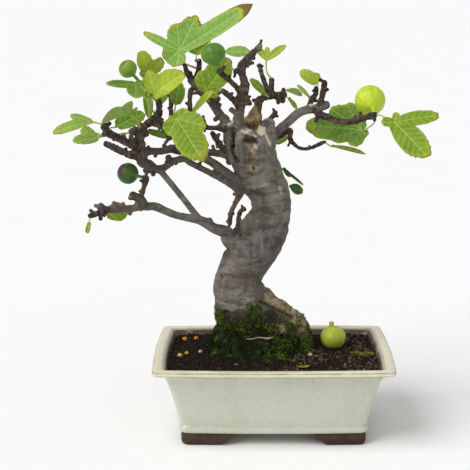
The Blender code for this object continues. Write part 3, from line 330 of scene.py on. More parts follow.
def loft(rings, closed_ends=True):
    """Points and faces of rings of equal length, one after another, with flat ends."""
    count = len(rings[0])
    points = [p for ring in rings for p in ring]
    faces = []
    for r in range(len(rings) - 1):
        for i in range(count):
            j = (i + 1) % count
            faces.append((r * count + i, r * count + j, (r + 1) * count + j, (r + 1) * count + i))
    if closed_ends:
        faces.append(tuple(reversed(range(count))))
        faces.append(tuple(range((len(rings) - 1) * count, len(rings) * count)))
    return points, faces


def finish(obj, slot, *nodes):
    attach(obj, "root")
    if nodes:
        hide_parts(*nodes)
    return obj


# ---- Shader building ----

class Shader:
    """A material's nodes, made and joined in few words."""

    def __init__(self, tree):
        self.tree = tree

    def add(self, kind, **inputs):
        settings = {k: v for k, v in inputs.items() if k.startswith("set_")}
        node = self.tree.nodes.new(kind)
        for key, value in settings.items():
            setattr(node, key[4:], value)
        for key, value in inputs.items():
            if key in settings:
                continue
            numbered = key[0] == "i" and key[1:].isdigit()
            socket = node.inputs[int(key[1:]) if numbered else key.replace("_", " ")]
            self.feed(socket, value)
        return node

    def feed(self, socket, value):
        if isinstance(value, bpy.types.NodeSocket):
            self.tree.links.new(value, socket)
        elif isinstance(value, bpy.types.Node):
            self.tree.links.new(value.outputs[0], socket)
        elif isinstance(value, (tuple, list)) and len(value) == 3 and socket.type == "RGBA":
            socket.default_value = (*value, 1.0)
        else:
            socket.default_value = value

    def math(self, operation, a, b=0.0, clamp=False):
        return self.add("ShaderNodeMath", set_operation=operation, set_use_clamp=clamp, i0=a, i1=b).outputs[0]

    def mix(self, factor, a, b, blend="MIX"):
        node = self.tree.nodes.new("ShaderNodeMix")
        node.data_type = "RGBA"
        node.blend_type = blend
        self.feed(node.inputs[0], factor)
        self.feed(node.inputs[6], a)
        self.feed(node.inputs[7], b)
        return node.outputs[2]

    def ramp(self, value, stops):
        """Grey or colour stops, each (place, level or colour)."""
        node = self.tree.nodes.new("ShaderNodeValToRGB")
        self.feed(node.inputs[0], value)
        while len(node.color_ramp.elements) < len(stops):
            node.color_ramp.elements.new(0.5)
        for element, (place, colour) in zip(node.color_ramp.elements, stops):
            element.position = place
            element.color = (colour, colour, colour, 1) if isinstance(colour, float) else (*colour, 1)
        return node.outputs[0]

    def attribute(self, name):
        return self.add("ShaderNodeAttribute", set_attribute_name=name).outputs[2]

    def noise(self, scale, detail=4.0, roughness=0.55, vector=None, out=0):
        """Noise in features per metre, on the piece's own place."""
        node = self.add("ShaderNodeTexNoise", Scale=scale, Detail=detail, Roughness=roughness)
        self.feed(node.inputs["Vector"], vector or self.place())
        return node.outputs[out]

    def place(self):
        return self.add("ShaderNodeTexCoord").outputs["Object"]

    def stretched(self, x, y, z):
        mapping = self.add("ShaderNodeMapping", Vector=self.place())
        mapping.inputs["Scale"].default_value = (x, y, z)
        return mapping.outputs[0]

    def bump(self, height, distance, strength=1.0, normal=None):
        node = self.add("ShaderNodeBump", Height=height, Distance=distance, Strength=strength)
        if normal is not None:
            self.feed(node.inputs["Normal"], normal)
        return node.outputs[0]

    def group(self, group, **inputs):
        node = self.tree.nodes.new("ShaderNodeGroup")
        node.node_tree = group
        for key, value in inputs.items():
            self.feed(node.inputs[key.replace("_", " ")], value)
        return node


def new_material(name, roughness=0.6, specular=0.5):
    material = bpy.data.materials.new(name)
    material.use_nodes = True
    shader = material.node_tree.nodes["Principled BSDF"]
    shader.inputs["Roughness"].default_value = roughness
    shader.inputs["Specular IOR Level"].default_value = specular
    return material, Shader(material.node_tree), shader


def shader_group(name, inputs, outputs):
    """An empty shader group with named sockets: (name, kind, value)."""
    tree = bpy.data.node_groups.new(name, "ShaderNodeTree")
    for label, kind, value in inputs:
        socket = tree.interface.new_socket(label, in_out="INPUT", socket_type=kind)
        socket.default_value = (*value, 1.0) if kind == "NodeSocketColor" else value
    for label, kind in outputs:
        tree.interface.new_socket(label, in_out="OUTPUT", socket_type=kind)
    return tree, Shader(tree), tree.nodes.new("NodeGroupInput"), tree.nodes.new("NodeGroupOutput")


def mottle_group():
    """Two colours in soft patches with finer flecks inside them, and a height that goes with them."""
    tree, s, given, result = shader_group(
        "mottle",
        [("Light", "NodeSocketColor", (0.5, 0.5, 0.5)), ("Dark", "NodeSocketColor", (0.2, 0.2, 0.2)),
         ("Patches", "NodeSocketFloat", 40.0), ("Flecks", "NodeSocketFloat", 400.0),
         ("Balance", "NodeSocketFloat", 0.5)],
        [("Color", "NodeSocketColor"), ("Height", "NodeSocketFloat")])
    coarse = s.noise(given.outputs["Patches"], 5.0, 0.6)
    fine = s.noise(given.outputs["Flecks"], 3.0, 0.6)
    both = s.math("ADD", s.math("MULTIPLY", coarse, 0.65), s.math("MULTIPLY", fine, 0.35))
    shifted = s.math("ADD", both, s.math("SUBTRACT", given.outputs["Balance"], 0.5))
    factor = s.add("ShaderNodeMapRange", Value=shifted, From_Min=0.38, From_Max=0.62).outputs[0]
    s.feed(result.inputs["Color"], s.mix(factor, given.outputs["Dark"], given.outputs["Light"]))
    s.feed(result.inputs["Height"], both)
    return tree


def crackle_group():
    """Fine dark lines between irregular cells, as in crazed glaze or between leaf veinlets."""
    tree, s, given, result = shader_group(
        "crackle",
        [("Vector", "NodeSocketVector", (0.0, 0.0, 0.0)), ("Cells", "NodeSocketFloat", 200.0),
         ("Width", "NodeSocketFloat", 0.04)],
        [("Line", "NodeSocketFloat")])
    cells = s.add("ShaderNodeTexVoronoi", set_feature="DISTANCE_TO_EDGE", Scale=given.outputs["Cells"])
    s.feed(cells.inputs["Vector"], given.outputs["Vector"])
    line = s.add("ShaderNodeMapRange", Value=cells.outputs["Distance"], From_Min=0.0,
                 From_Max=given.outputs["Width"], To_Min=1.0, To_Max=0.0)
    s.feed(result.inputs["Line"], line.outputs[0])
    return tree


def specks_group():
    """Scattered round dots: pinholes, lenticels and pale spots."""
    tree, s, given, result = shader_group(
        "specks",
        [("Cells", "NodeSocketFloat", 200.0), ("Size", "NodeSocketFloat", 0.15),
         ("Share", "NodeSocketFloat", 0.3)],
        [("Dot", "NodeSocketFloat")])
    cells = s.add("ShaderNodeTexVoronoi", Scale=given.outputs["Cells"], Vector=s.place())
    near = s.add("ShaderNodeMapRange", Value=cells.outputs["Distance"], From_Min=0.0,
                 From_Max=given.outputs["Size"], To_Min=1.0, To_Max=0.0).outputs[0]
    chosen = s.add("ShaderNodeSeparateColor", Color=cells.outputs["Color"]).outputs[0]
    kept = s.math("LESS_THAN", chosen, given.outputs["Share"])
    s.feed(result.inputs["Dot"], s.math("MULTIPLY", near, kept))
    return tree


MOTTLE = mottle_group()
CRACKLE = crackle_group()
SPECKS = specks_group()


# ---- Materials ----

def bark_material():
    """Smooth grey bark that turns to dark ringed bark on young twigs, with old wood at the cuts."""
    material, s, shader = new_material("fig_bark", 0.78, 0.3)
    grey = s.group(MOTTLE, Light=(0.225, 0.207, 0.176), Dark=(0.044, 0.040, 0.035),
                   Patches=36.0, Flecks=520.0, Balance=0.5)
    streaks = s.noise(85.0, 5.0, 0.65, s.stretched(1.0, 1.0, 0.3))
    colour = s.mix(s.ramp(streaks, [(0.45, 0.0), (0.68, 0.6)]), grey.outputs[0], (0.285, 0.272, 0.236))
    brown = s.ramp(s.noise(17.0, 4.0, 0.6), [(0.46, 0.0), (0.64, 0.7)])
    colour = s.mix(brown, colour, (0.130, 0.104, 0.064))
    worn = s.ramp(s.noise(60.0, 5.0, 0.7, s.stretched(0.6, 0.6, 1.8)), [(0.32, 0.9), (0.48, 0.0)])
    colour = s.mix(worn, colour, (0.050, 0.043, 0.036))
    dots = s.group(SPECKS, Cells=300.0, Size=0.30, Share=0.25).outputs[0]
    colour = s.mix(s.math("MULTIPLY", dots, 0.55), colour, (0.46, 0.42, 0.34))
    twig = s.attribute("twig")
    dark = s.group(MOTTLE, Light=(0.120, 0.082, 0.060), Dark=(0.024, 0.015, 0.012),
                   Patches=150.0, Flecks=1100.0, Balance=0.42)
    ring = s.attribute("ring")
    dark_ringed = s.mix(s.math("MULTIPLY", ring, 0.55), dark.outputs[0], (0.22, 0.165, 0.115))
    colour = s.mix(twig, colour, dark_ringed)
    old = s.group(MOTTLE, Light=(0.50, 0.37, 0.19), Dark=(0.13, 0.075, 0.030),
                  Patches=110.0, Flecks=800.0, Balance=0.5)
    colour = s.mix(s.attribute("wood"), colour, old.outputs[0])
    tan = s.group(MOTTLE, Light=(0.42, 0.34, 0.21), Dark=(0.115, 0.075, 0.045),
                  Patches=95.0, Flecks=700.0, Balance=0.52)
    rough = s.group(MOTTLE, Light=(0.105, 0.074, 0.044), Dark=(0.018, 0.014, 0.008),
                    Patches=80.0, Flecks=600.0, Balance=0.5)
    colour = s.mix(s.attribute("earth"), colour, rough.outputs[0])
    colour = s.mix(s.attribute("root"), colour, tan.outputs[0])
    damp = s.group(MOTTLE, Light=(0.115, 0.140, 0.014), Dark=(0.022, 0.034, 0.005),
                   Patches=130.0, Flecks=900.0, Balance=0.5)
    colour = s.mix(s.math("MULTIPLY", s.attribute("cover"), 0.8), colour, damp.outputs[0])
    colour = s.mix(s.attribute("pale"), colour, (0.56, 0.49, 0.37))
    # Painted shade: near black in the trunk's crevices and holes and on the front of its foot below the root flare.
    colour = s.mix(s.attribute("hollow"), colour, (0.014, 0.010, 0.006))
    s.feed(shader.inputs["Base Color"], colour)
    wrinkles = s.noise(170.0, 6.0, 0.65, s.stretched(0.5, 0.5, 1.7))
    cracks = s.group(CRACKLE, Vector=s.stretched(1.0, 1.0, 0.45), Cells=260.0, Width=0.10).outputs[0]
    height = s.math("SUBTRACT", s.math("ADD", wrinkles, s.math("MULTIPLY", streaks, 0.5)),
                    s.math("MULTIPLY", cracks, s.math("ADD", 0.08, s.math("MULTIPLY", twig, 0.4))))
    height = s.math("SUBTRACT", height, s.math("MULTIPLY", worn, 0.5))
    s.feed(shader.inputs["Normal"], s.bump(height, 0.0016, 0.9))
    s.feed(shader.inputs["Roughness"], s.ramp(grey.outputs[1], [(0.3, 0.68), (0.7, 0.9)]))
    return material


def blade_material(name, fresh, deep, vein, brown, shine):
    """A fig leaf's blade: main veins, side veins, veinlets between them and a browning margin."""
    material, s, shader = new_material(name, shine, 0.2)
    along, across = s.attribute("vein_along"), s.attribute("vein_across")
    away = s.math("ABSOLUTE", across)
    slope = s.math("SUBTRACT", along, s.math("MULTIPLY", away, 0.75))
    turn = s.math("FRACT", s.math("DIVIDE", slope, 8.5))
    side = s.math("ABSOLUTE", s.math("SUBTRACT", turn, 0.5))
    side_line = s.add("ShaderNodeMapRange", Value=side, From_Min=0.0, From_Max=0.055,
                      To_Min=1.0, To_Max=0.0).outputs[0]
    main_line = s.add("ShaderNodeMapRange", Value=away, From_Min=0.25, From_Max=0.95,
                      To_Min=1.0, To_Max=0.0).outputs[0]
    net = s.group(CRACKLE, Vector=s.add("ShaderNodeUVMap").outputs[0], Cells=46.0, Width=0.07).outputs[0]
    lines = s.math("MAXIMUM", main_line, s.math("MULTIPLY", side_line, 0.62))
    soft = s.group(MOTTLE, Light=fresh, Dark=deep, Patches=55.0, Flecks=420.0, Balance=0.55)
    pad = s.add("ShaderNodeMapRange", Value=side, From_Min=0.0, From_Max=0.5, To_Min=0.25, To_Max=0.0)
    colour = s.mix(pad.outputs[0], soft.outputs[0], vein)
    colour = s.mix(s.math("MULTIPLY", net, 0.22), colour, vein)
    colour = s.mix(s.math("MULTIPLY", lines, 0.8), colour, vein)
    edge = s.attribute("margin")
    worn = s.math("ADD", edge, s.math("MULTIPLY", s.math("SUBTRACT", s.noise(95.0, 4.0), 0.5), 0.35))
    scorched = s.ramp(worn, [(0.90, 0.0), (0.985, 1.0)])
    yellowed = s.ramp(worn, [(0.72, 0.0), (0.97, 1.0)])
    colour = s.mix(s.math("MULTIPLY", yellowed, min(1.0, 0.25 + brown)), colour, (0.44, 0.46, 0.02))
    colour = s.mix(s.math("MULTIPLY", scorched, brown), colour, (0.10, 0.045, 0.02))
    s.feed(shader.inputs["Base Color"], colour)
    height = s.math("ADD", s.math("MULTIPLY", side, 0.9), s.math("MULTIPLY", lines, -0.8))
    height = s.math("ADD", height, s.math("MULTIPLY", net, -0.15))
    s.feed(shader.inputs["Normal"], s.bump(height, 0.0009, 0.55))
    return material


def stalk_material():
    material, s, shader = new_material("leaf_stalk", 0.45, 0.4)
    soft = s.group(MOTTLE, Light=(0.50, 0.58, 0.11), Dark=(0.28, 0.38, 0.05),
                   Patches=90.0, Flecks=600.0, Balance=0.5)
    s.feed(shader.inputs["Base Color"], soft.outputs[0])
    ridges = s.noise(500.0, 2.0, 0.5)
    s.feed(shader.inputs["Normal"], s.bump(ridges, 0.0003, 0.5))
    return material


def fig_material(name, fresh, deep, purple=0.0):
    """Waxy skin with lengthwise ribs, pale dots and a darker eye."""
    material, s, shader = new_material(name, 0.42, 0.4)
    soft = s.group(MOTTLE, Light=fresh, Dark=deep, Patches=60.0, Flecks=380.0, Balance=0.55)
    rib, eye = s.attribute("rib"), s.attribute("eye")
    line = s.ramp(rib, [(0.0, 0.30), (0.4, 0.0)])
    pale = tuple(min(1.0, c * 1.3 + 0.02) for c in fresh)
    colour = s.mix(line, soft.outputs[0], pale)
    dots = s.group(SPECKS, Cells=520.0, Size=0.32, Share=0.3).outputs[0]
    colour = s.mix(s.math("MULTIPLY", dots, 0.45), colour, pale)
    colour = s.mix(s.ramp(eye, [(0.93, 0.0), (0.985, 0.9)]), colour, (0.16, 0.10, 0.03))
    if purple:
        uneven = s.math("MULTIPLY", s.math("SUBTRACT", s.noise(60.0, 3.0), 0.5), 0.9)
        cloud = s.math("ADD", s.attribute("blush"), uneven)
        colour = s.mix(s.math("MULTIPLY", s.ramp(cloud, [(0.66, 0.0), (0.84, 1.0)]), purple), colour,
                       (0.055, 0.026, 0.026))
    s.feed(shader.inputs["Base Color"], colour)
    height = s.math("ADD", s.math("MULTIPLY", rib, 0.6), s.noise(420.0, 3.0))
    s.feed(shader.inputs["Normal"], s.bump(height, 0.0005, 0.45))
    return material


def glaze_material():
    """Cream glaze, crazed and pinholed, thin and tan where it breaks over the rim."""
    material, s, shader = new_material("cream_glaze", 0.24, 0.5)
    shader.inputs["Coat Weight"].default_value = 0.35
    shader.inputs["Coat Roughness"].default_value = 0.12
    body = s.group(MOTTLE, Light=(0.565, 0.570, 0.480), Dark=(0.495, 0.492, 0.385),
                   Patches=16.0, Flecks=160.0, Balance=0.55)
    rim = s.group(MOTTLE, Light=(0.82, 0.78, 0.57), Dark=(0.71, 0.65, 0.43),
                  Patches=24.0, Flecks=200.0, Balance=0.55)
    cream = s.mix(s.attribute("lip"), body.outputs[0], rim.outputs[0])
    grain = s.noise(900.0, 2.0, 0.5)
    colour = s.mix(s.ramp(grain, [(0.35, 0.0), (0.7, 0.22)]), cream, (0.44, 0.44, 0.345))
    craze = s.group(CRACKLE, Vector=s.place(), Cells=240.0, Width=0.03).outputs[0]
    colour = s.mix(s.math("MULTIPLY", craze, 0.10), colour, (0.42, 0.38, 0.27))
    dots = s.group(SPECKS, Cells=75.0, Size=0.10, Share=0.3).outputs[0]
    colour = s.mix(s.math("MULTIPLY", dots, 0.8), colour, (0.16, 0.12, 0.08))
    thin = s.math("MULTIPLY", s.attribute("thin"), s.ramp(s.noise(60.0, 4.0), [(0.3, 0.45), (0.6, 1.0)]))
    colour = s.mix(thin, colour, (0.16, 0.125, 0.085))
    stain = s.math("MULTIPLY", s.attribute("stain"), s.ramp(s.noise(45.0, 5.0), [(0.25, 0.7), (0.5, 1.0)]))
    colour = s.mix(stain, colour, (0.070, 0.048, 0.028))
    s.feed(shader.inputs["Base Color"], colour)
    height = s.math("SUBTRACT", s.math("MULTIPLY", s.noise(60.0, 3.0), 0.6), s.math("MULTIPLY", dots, 0.8))
    s.feed(shader.inputs["Normal"], s.bump(height, 0.0003, 0.3))
    s.feed(shader.inputs["Roughness"], s.ramp(s.noise(120.0, 3.0), [(0.3, 0.20), (0.75, 0.38)]))
    return material


def clay_material():
    material, s, shader = new_material("bare_clay", 0.8, 0.3)
    soft = s.group(MOTTLE, Light=(0.074, 0.040, 0.026), Dark=(0.032, 0.018, 0.013),
                   Patches=70.0, Flecks=700.0, Balance=0.5)
    s.feed(shader.inputs["Base Color"], soft.outputs[0])
    s.feed(shader.inputs["Normal"], s.bump(s.noise(900.0, 4.0), 0.0004, 0.6))
    return material


def crumb_material(name, light, dark, patches=220.0):
    """Dry or damp crumbs: soil, moss cushions, pellets."""
    material, s, shader = new_material(name, 0.95, 0.2)
    soft = s.group(MOTTLE, Light=light, Dark=dark, Patches=patches, Flecks=1300.0, Balance=0.5)
    s.feed(shader.inputs["Base Color"], soft.outputs[0])
    s.feed(shader.inputs["Normal"], s.bump(s.noise(1100.0, 5.0, 0.7), 0.0012, 0.9))
    return material


def netting_material():
    material, s, shader = new_material("black_netting", 0.5, 0.4)
    soft = s.group(MOTTLE, Light=(0.035, 0.035, 0.035), Dark=(0.015, 0.015, 0.015),
                   Patches=90.0, Flecks=600.0, Balance=0.5)
    s.feed(shader.inputs["Base Color"], soft.outputs[0])
    s.feed(shader.inputs["Normal"], s.bump(s.noise(700.0), 0.0002, 0.4))
    return material


# ---- Pot ----

def pot_ring(length, depth, corner, z, bow=SIDE_BOW, corner_steps=8, side_steps=14):
    """A rectangle with round corners whose sides bow outward, anticlockwise from above."""
    half = ((length / 2 - corner), (depth / 2 - corner))
    ring = []
    signs = ((1, -1), (1, 1), (-1, 1), (-1, -1))
    for quarter, (sx, sy) in enumerate(signs):
        start = -math.pi / 2 + quarter * math.pi / 2
        for i in range(corner_steps + 1):
            turn = start + (math.pi / 2) * i / corner_steps
            ring.append((sx * half[0] + corner * math.cos(turn), sy * half[1] + corner * math.sin(turn)))
        ax, ay = ring[-1]
        nx, ny = signs[(quarter + 1) % 4]
        end = start + math.pi / 2
        bx = nx * half[0] + corner * math.cos(end)
        by = ny * half[1] + corner * math.sin(end)
        for i in range(1, side_steps):
            t = i / side_steps
            ring.append((ax + (bx - ax) * t, ay + (by - ay) * t))
    return [bowed(x, y, length, depth, bow, z) for x, y in ring]


def bowed(x, y, length, depth, bow, z):
    u, v = 2 * x / length, 2 * y / depth
    return (x + bow * u * max(0.0, 1 - v * v), y + bow * v * max(0.0, 1 - u * u), z)


def pot_size(inset):
    return RIM_LENGTH - 2 * inset, RIM_DEPTH - 2 * inset


# Each step of the pot's side: height, inset from the rim's outline, corner radius, thin glaze, stain.
OUTER_PROFILE = (
    (FOOT_HEIGHT, BASE_INSET + 14.0, 8.0, 0.0, 0.0),
    (FOOT_HEIGHT, BASE_INSET + 3.0, 8.0, 0.7, 0.0),
    (FOOT_HEIGHT + 0.8, BASE_INSET + 1.0, 8.5, 0.3, 0.0),
    (FOOT_HEIGHT + 2.2, BASE_INSET, 9.0, 0.0, 0.0),
    (FOOT_HEIGHT + 5.0, BASE_INSET - 1.0, 9.0, 0.0, 0.0),
    (FOOT_HEIGHT + 8.0, BASE_INSET - 0.8, 9.0, 0.0, 0.0),
    (FOOT_HEIGHT + 9.6, BASE_INSET + 0.2, 9.0, 0.15, 0.0),
    (FOOT_HEIGHT + 11.0, BASE_INSET + 1.3, 8.5, 0.0, 0.0),
    (32.0, 30.9, 9.0, 0.0, 0.0),
    (45.0, 28.2, 9.0, 0.0, 0.0),
    (58.0, 25.0, 9.2, 0.0, 0.0),
    (70.0, 21.6, 9.5, 0.0, 0.0),
    (78.0, 19.2, 9.8, 0.0, 0.0),
    (84.0, 17.2, 10.0, 0.0, 0.0),
    (88.0, 15.6, 10.0, 0.0, 0.0),
    (91.5, 13.0, 10.0, 0.0, 0.0),
    (94.0, 9.0, 9.0, 0.0, 0.0),
    (95.8, 4.0, 7.5, 0.15, 0.0),
    (96.8, 1.4, 6.5, 0.9, 0.0),
    (98.0, 0.1, 6.0, 0.15, 0.0),
    (100.4, 0.0, 6.0, 0.1, 0.0),
    (101.6, 0.4, 6.0, 0.9, 0.0),
    (102.5, 1.3, 6.0, 0.35, 0.0),
    (POT_HEIGHT, 3.0, 6.0, 0.0, 0.0),
    (POT_HEIGHT, 7.5, 6.0, 0.0, 0.0),
    (POT_HEIGHT - 0.3, RIM_WIDTH - 4.0, 6.0, 0.05, 0.0),
    (POT_HEIGHT - 0.9, RIM_WIDTH - 1.6, 6.0, 0.7, 0.0),
    (POT_HEIGHT - 2.2, RIM_WIDTH, 6.0, 0.2, 0.6),
    (100.4, RIM_WIDTH + 0.8, 6.5, 0.0, 1.0),
    (98.0, RIM_WIDTH + 2.2, 7.0, 0.0, 1.0),
    (90.0, RIM_WIDTH + 7.6, 8.0, 0.0, 1.0),
    (60.0, 31.4, 9.0, 0.0, 1.0),
    (FOOT_HEIGHT + FLOOR_THICKNESS, BASE_INSET + 10.0, 10.0, 0.0, 1.0),
)


def make_pot(glaze, clay):
    """The glazed body with its two drain holes, on four bare clay feet."""
    rings = [pot_ring(*pot_size(inset), corner, z) for z, inset, corner, _, _ in OUTER_PROFILE]
    points, faces = loft(rings)
    body = add_mesh("pot_body", points, faces, [glaze])
    count = len(rings[0])
    paint(body, "thin", np.repeat([row[3] for row in OUTER_PROFILE], count))
    paint(body, "stain", np.repeat([row[4] for row in OUTER_PROFILE], count))
    paint(body, "lip", smooth_step(96, 98, positions(body)[:, 2]))
    for name in ("left", "right"):
        low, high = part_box(f"drain_net_{name}")
        x = ((low[0] + high[0]) / 2 - ORIGIN[0]) / MM
        cut(body, drain_cutter(f"drain_{name}_cutter", x))
    finish(body, "glaze", "pot")
    feet = foot_skirt(clay)
    cut(feet, arch_cutter("arch_front_back_cutter", BASE_LENGTH / 2 - FOOT_LENGTH + 12, 140, True))
    cut(feet, arch_cutter("arch_sides_cutter", BASE_DEPTH / 2 - FOOT_LENGTH + 18, 180, False))
    feet.data.set_sharp_from_angle(angle=math.radians(40))
    body.data.set_sharp_from_angle(angle=math.radians(50))
    finish(feet, "glaze")


def cut(obj, cutter):
    modifier = obj.modifiers.new("cut", "BOOLEAN")
    modifier.operation = "DIFFERENCE"
    modifier.solver = "EXACT"
    modifier.object = cutter
    evaluated_copy(obj)
    bpy.data.objects.remove(cutter, do_unlink=True)


def drain_cutter(name, x, radius=12.0):
    ring = [(x + radius * math.cos(a), radius * math.sin(a)) for a in np.linspace(0, 2 * math.pi, 41)[:-1]]
    return add_mesh(name, *loft([[(px, py, z) for px, py in ring] for z in (5.0, 30.0)]), [])


def foot_skirt(clay):
    outer = [pot_ring(*pot_size(BASE_INSET + inset), 8.0, z, bow=2.0)
             for z, inset in ((-FEET_BELOW, 4.6), (-2.0, 3.2), (-0.6, 2.0), (2.0, 1.2), (8.0, 1.0),
                              (FOOT_HEIGHT + 0.4, 2.2))]
    inner = [pot_ring(*pot_size(BASE_INSET + FOOT_WALL), 5.0, z, bow=0.5)
             for z in (FOOT_HEIGHT + 0.4, 1.0, -FEET_BELOW)]
    rings = outer + inner
    points, faces = loft(rings, closed_ends=False)
    count = len(rings[0])
    last = (len(rings) - 1) * count
    faces += [(last + i, last + (i + 1) % count, (i + 1) % count, i) for i in range(count)]
    return add_mesh("pot_feet", points, faces, [clay])


def arch_cutter(name, half_width, reach, along_x):
    """The opening between two feet, with an ogee at each end."""
    run, rise = 22.0, FOOT_HEIGHT + FEET_BELOW + 0.6
    right = []
    for t in np.linspace(0.0, 1.0, 13)[:-1]:
        right.append((half_width - run * (1 - t), min(rise, rise * (1 - t) ** 1.6 * (1 + 0.9 * t)) - FEET_BELOW))
    right.append((half_width, -2.0 - FEET_BELOW))
    outline = right + [(-x, z) for x, z in reversed(right)]
    rings = [[(x, side, z) if along_x else (side, x, z) for x, z in outline] for side in (-reach, reach)]
    return add_mesh(name, *loft(rings), [])


# ---- Soil, moss and what lies on them ----

def soil_height(x, y):
    away = np.hypot((x - MOUND_CENTRE[0]) / MOUND_RADII[0], (y - MOUND_CENTRE[1]) / MOUND_RADII[1])
    mound = MOUND_HEIGHT * (1 - smooth_step(0.72, 1.22, away))
    skirt = 5.0 * (1 - smooth_step(1.0, 1.9, away))
    lumps = 1.6 * noise.noise(Vector((x / 19, y / 19, 3.1)))
    return float(SOIL_LEVEL + mound + skirt + lumps)


def crumbly(x, y):
    """Clods and crumbs on top of the soil's even surface."""
    clod = noise.noise(Vector((x / 6.5, y / 6.5, 9.0)))
    grain = noise.noise(Vector((x / 2.4, y / 2.4, 5.0)))
    return soil_height(x, y) + 1.5 * clod + 1.0 * grain


def make_soil(material):
    length, depth = pot_size(RIM_WIDTH + 5.2)
    edge = pot_ring(length, depth, 8.0, 0.0, side_steps=44, corner_steps=8)
    shares = np.linspace(1.0, 0.012, 74)
    rings = [[(x * 0.93, y * 0.93, 60.0) for x, y, _ in edge], [(x, y, 86.0) for x, y, _ in edge]]
    for share in shares:
        rings.append([(x * share, y * share, crumbly(x * share, y * share)) for x, y, _ in edge])
    soil = add_mesh("soil_bed", *loft(rings), [material])
    return finish(soil, "soil", "soil")


def icosphere(name, radius, squash, material, seed, subdivisions=1, rough=0.25):
    """One small lump, for scattering or for a pellet."""
    bm = bmesh.new()
    bmesh.ops.create_icosphere(bm, subdivisions=subdivisions, radius=radius * MM)
    for vert in bm.verts:
        push = 1 + rough * noise.noise(vert.co / (radius * MM) * 1.4 + Vector((seed, 0, 0)))
        vert.co = Vector((vert.co.x * push, vert.co.y * push, vert.co.z * push * squash))
    mesh = bpy.data.meshes.new(name)
    bm.to_mesh(mesh)
    bm.free()
    mesh.shade_smooth()
    mesh.materials.append(material)
    obj = bpy.data.objects.new(name, mesh)
    bpy.context.scene.collection.objects.link(obj)
    return obj


def sprig(name, material, blades, length, width, lean, seed):
    """A little tuft of pointed three-sided blades from one spot."""
    rng = np.random.default_rng(seed)
    points, faces = [], []
    for _ in range(blades):
        turn, tilt = rng.uniform(0, 2 * math.pi), rng.uniform(0.1, lean)
        reach = length * rng.uniform(0.6, 1.0)
        tip = np.array([math.sin(tilt) * math.cos(turn), math.sin(tilt) * math.sin(turn), math.cos(tilt)]) * reach
        first = len(points)
        for k in range(3):
            a = turn + k * 2 * math.pi / 3
            points.append((width * math.cos(a), width * math.sin(a), -0.4))
        points.append(tuple(tip))
        faces += [(first, first + 2, first + 1), (first, first + 1, first + 3),
                  (first + 1, first + 2, first + 3), (first + 2, first, first + 3)]
    mesh = bpy.data.meshes.new(name)
    mesh.from_pydata([tuple(c * MM for c in p) for p in points], [], faces)
    mesh.materials.append(material)
    obj = bpy.data.objects.new(name, mesh)
    bpy.context.scene.collection.objects.link(obj)
    return obj


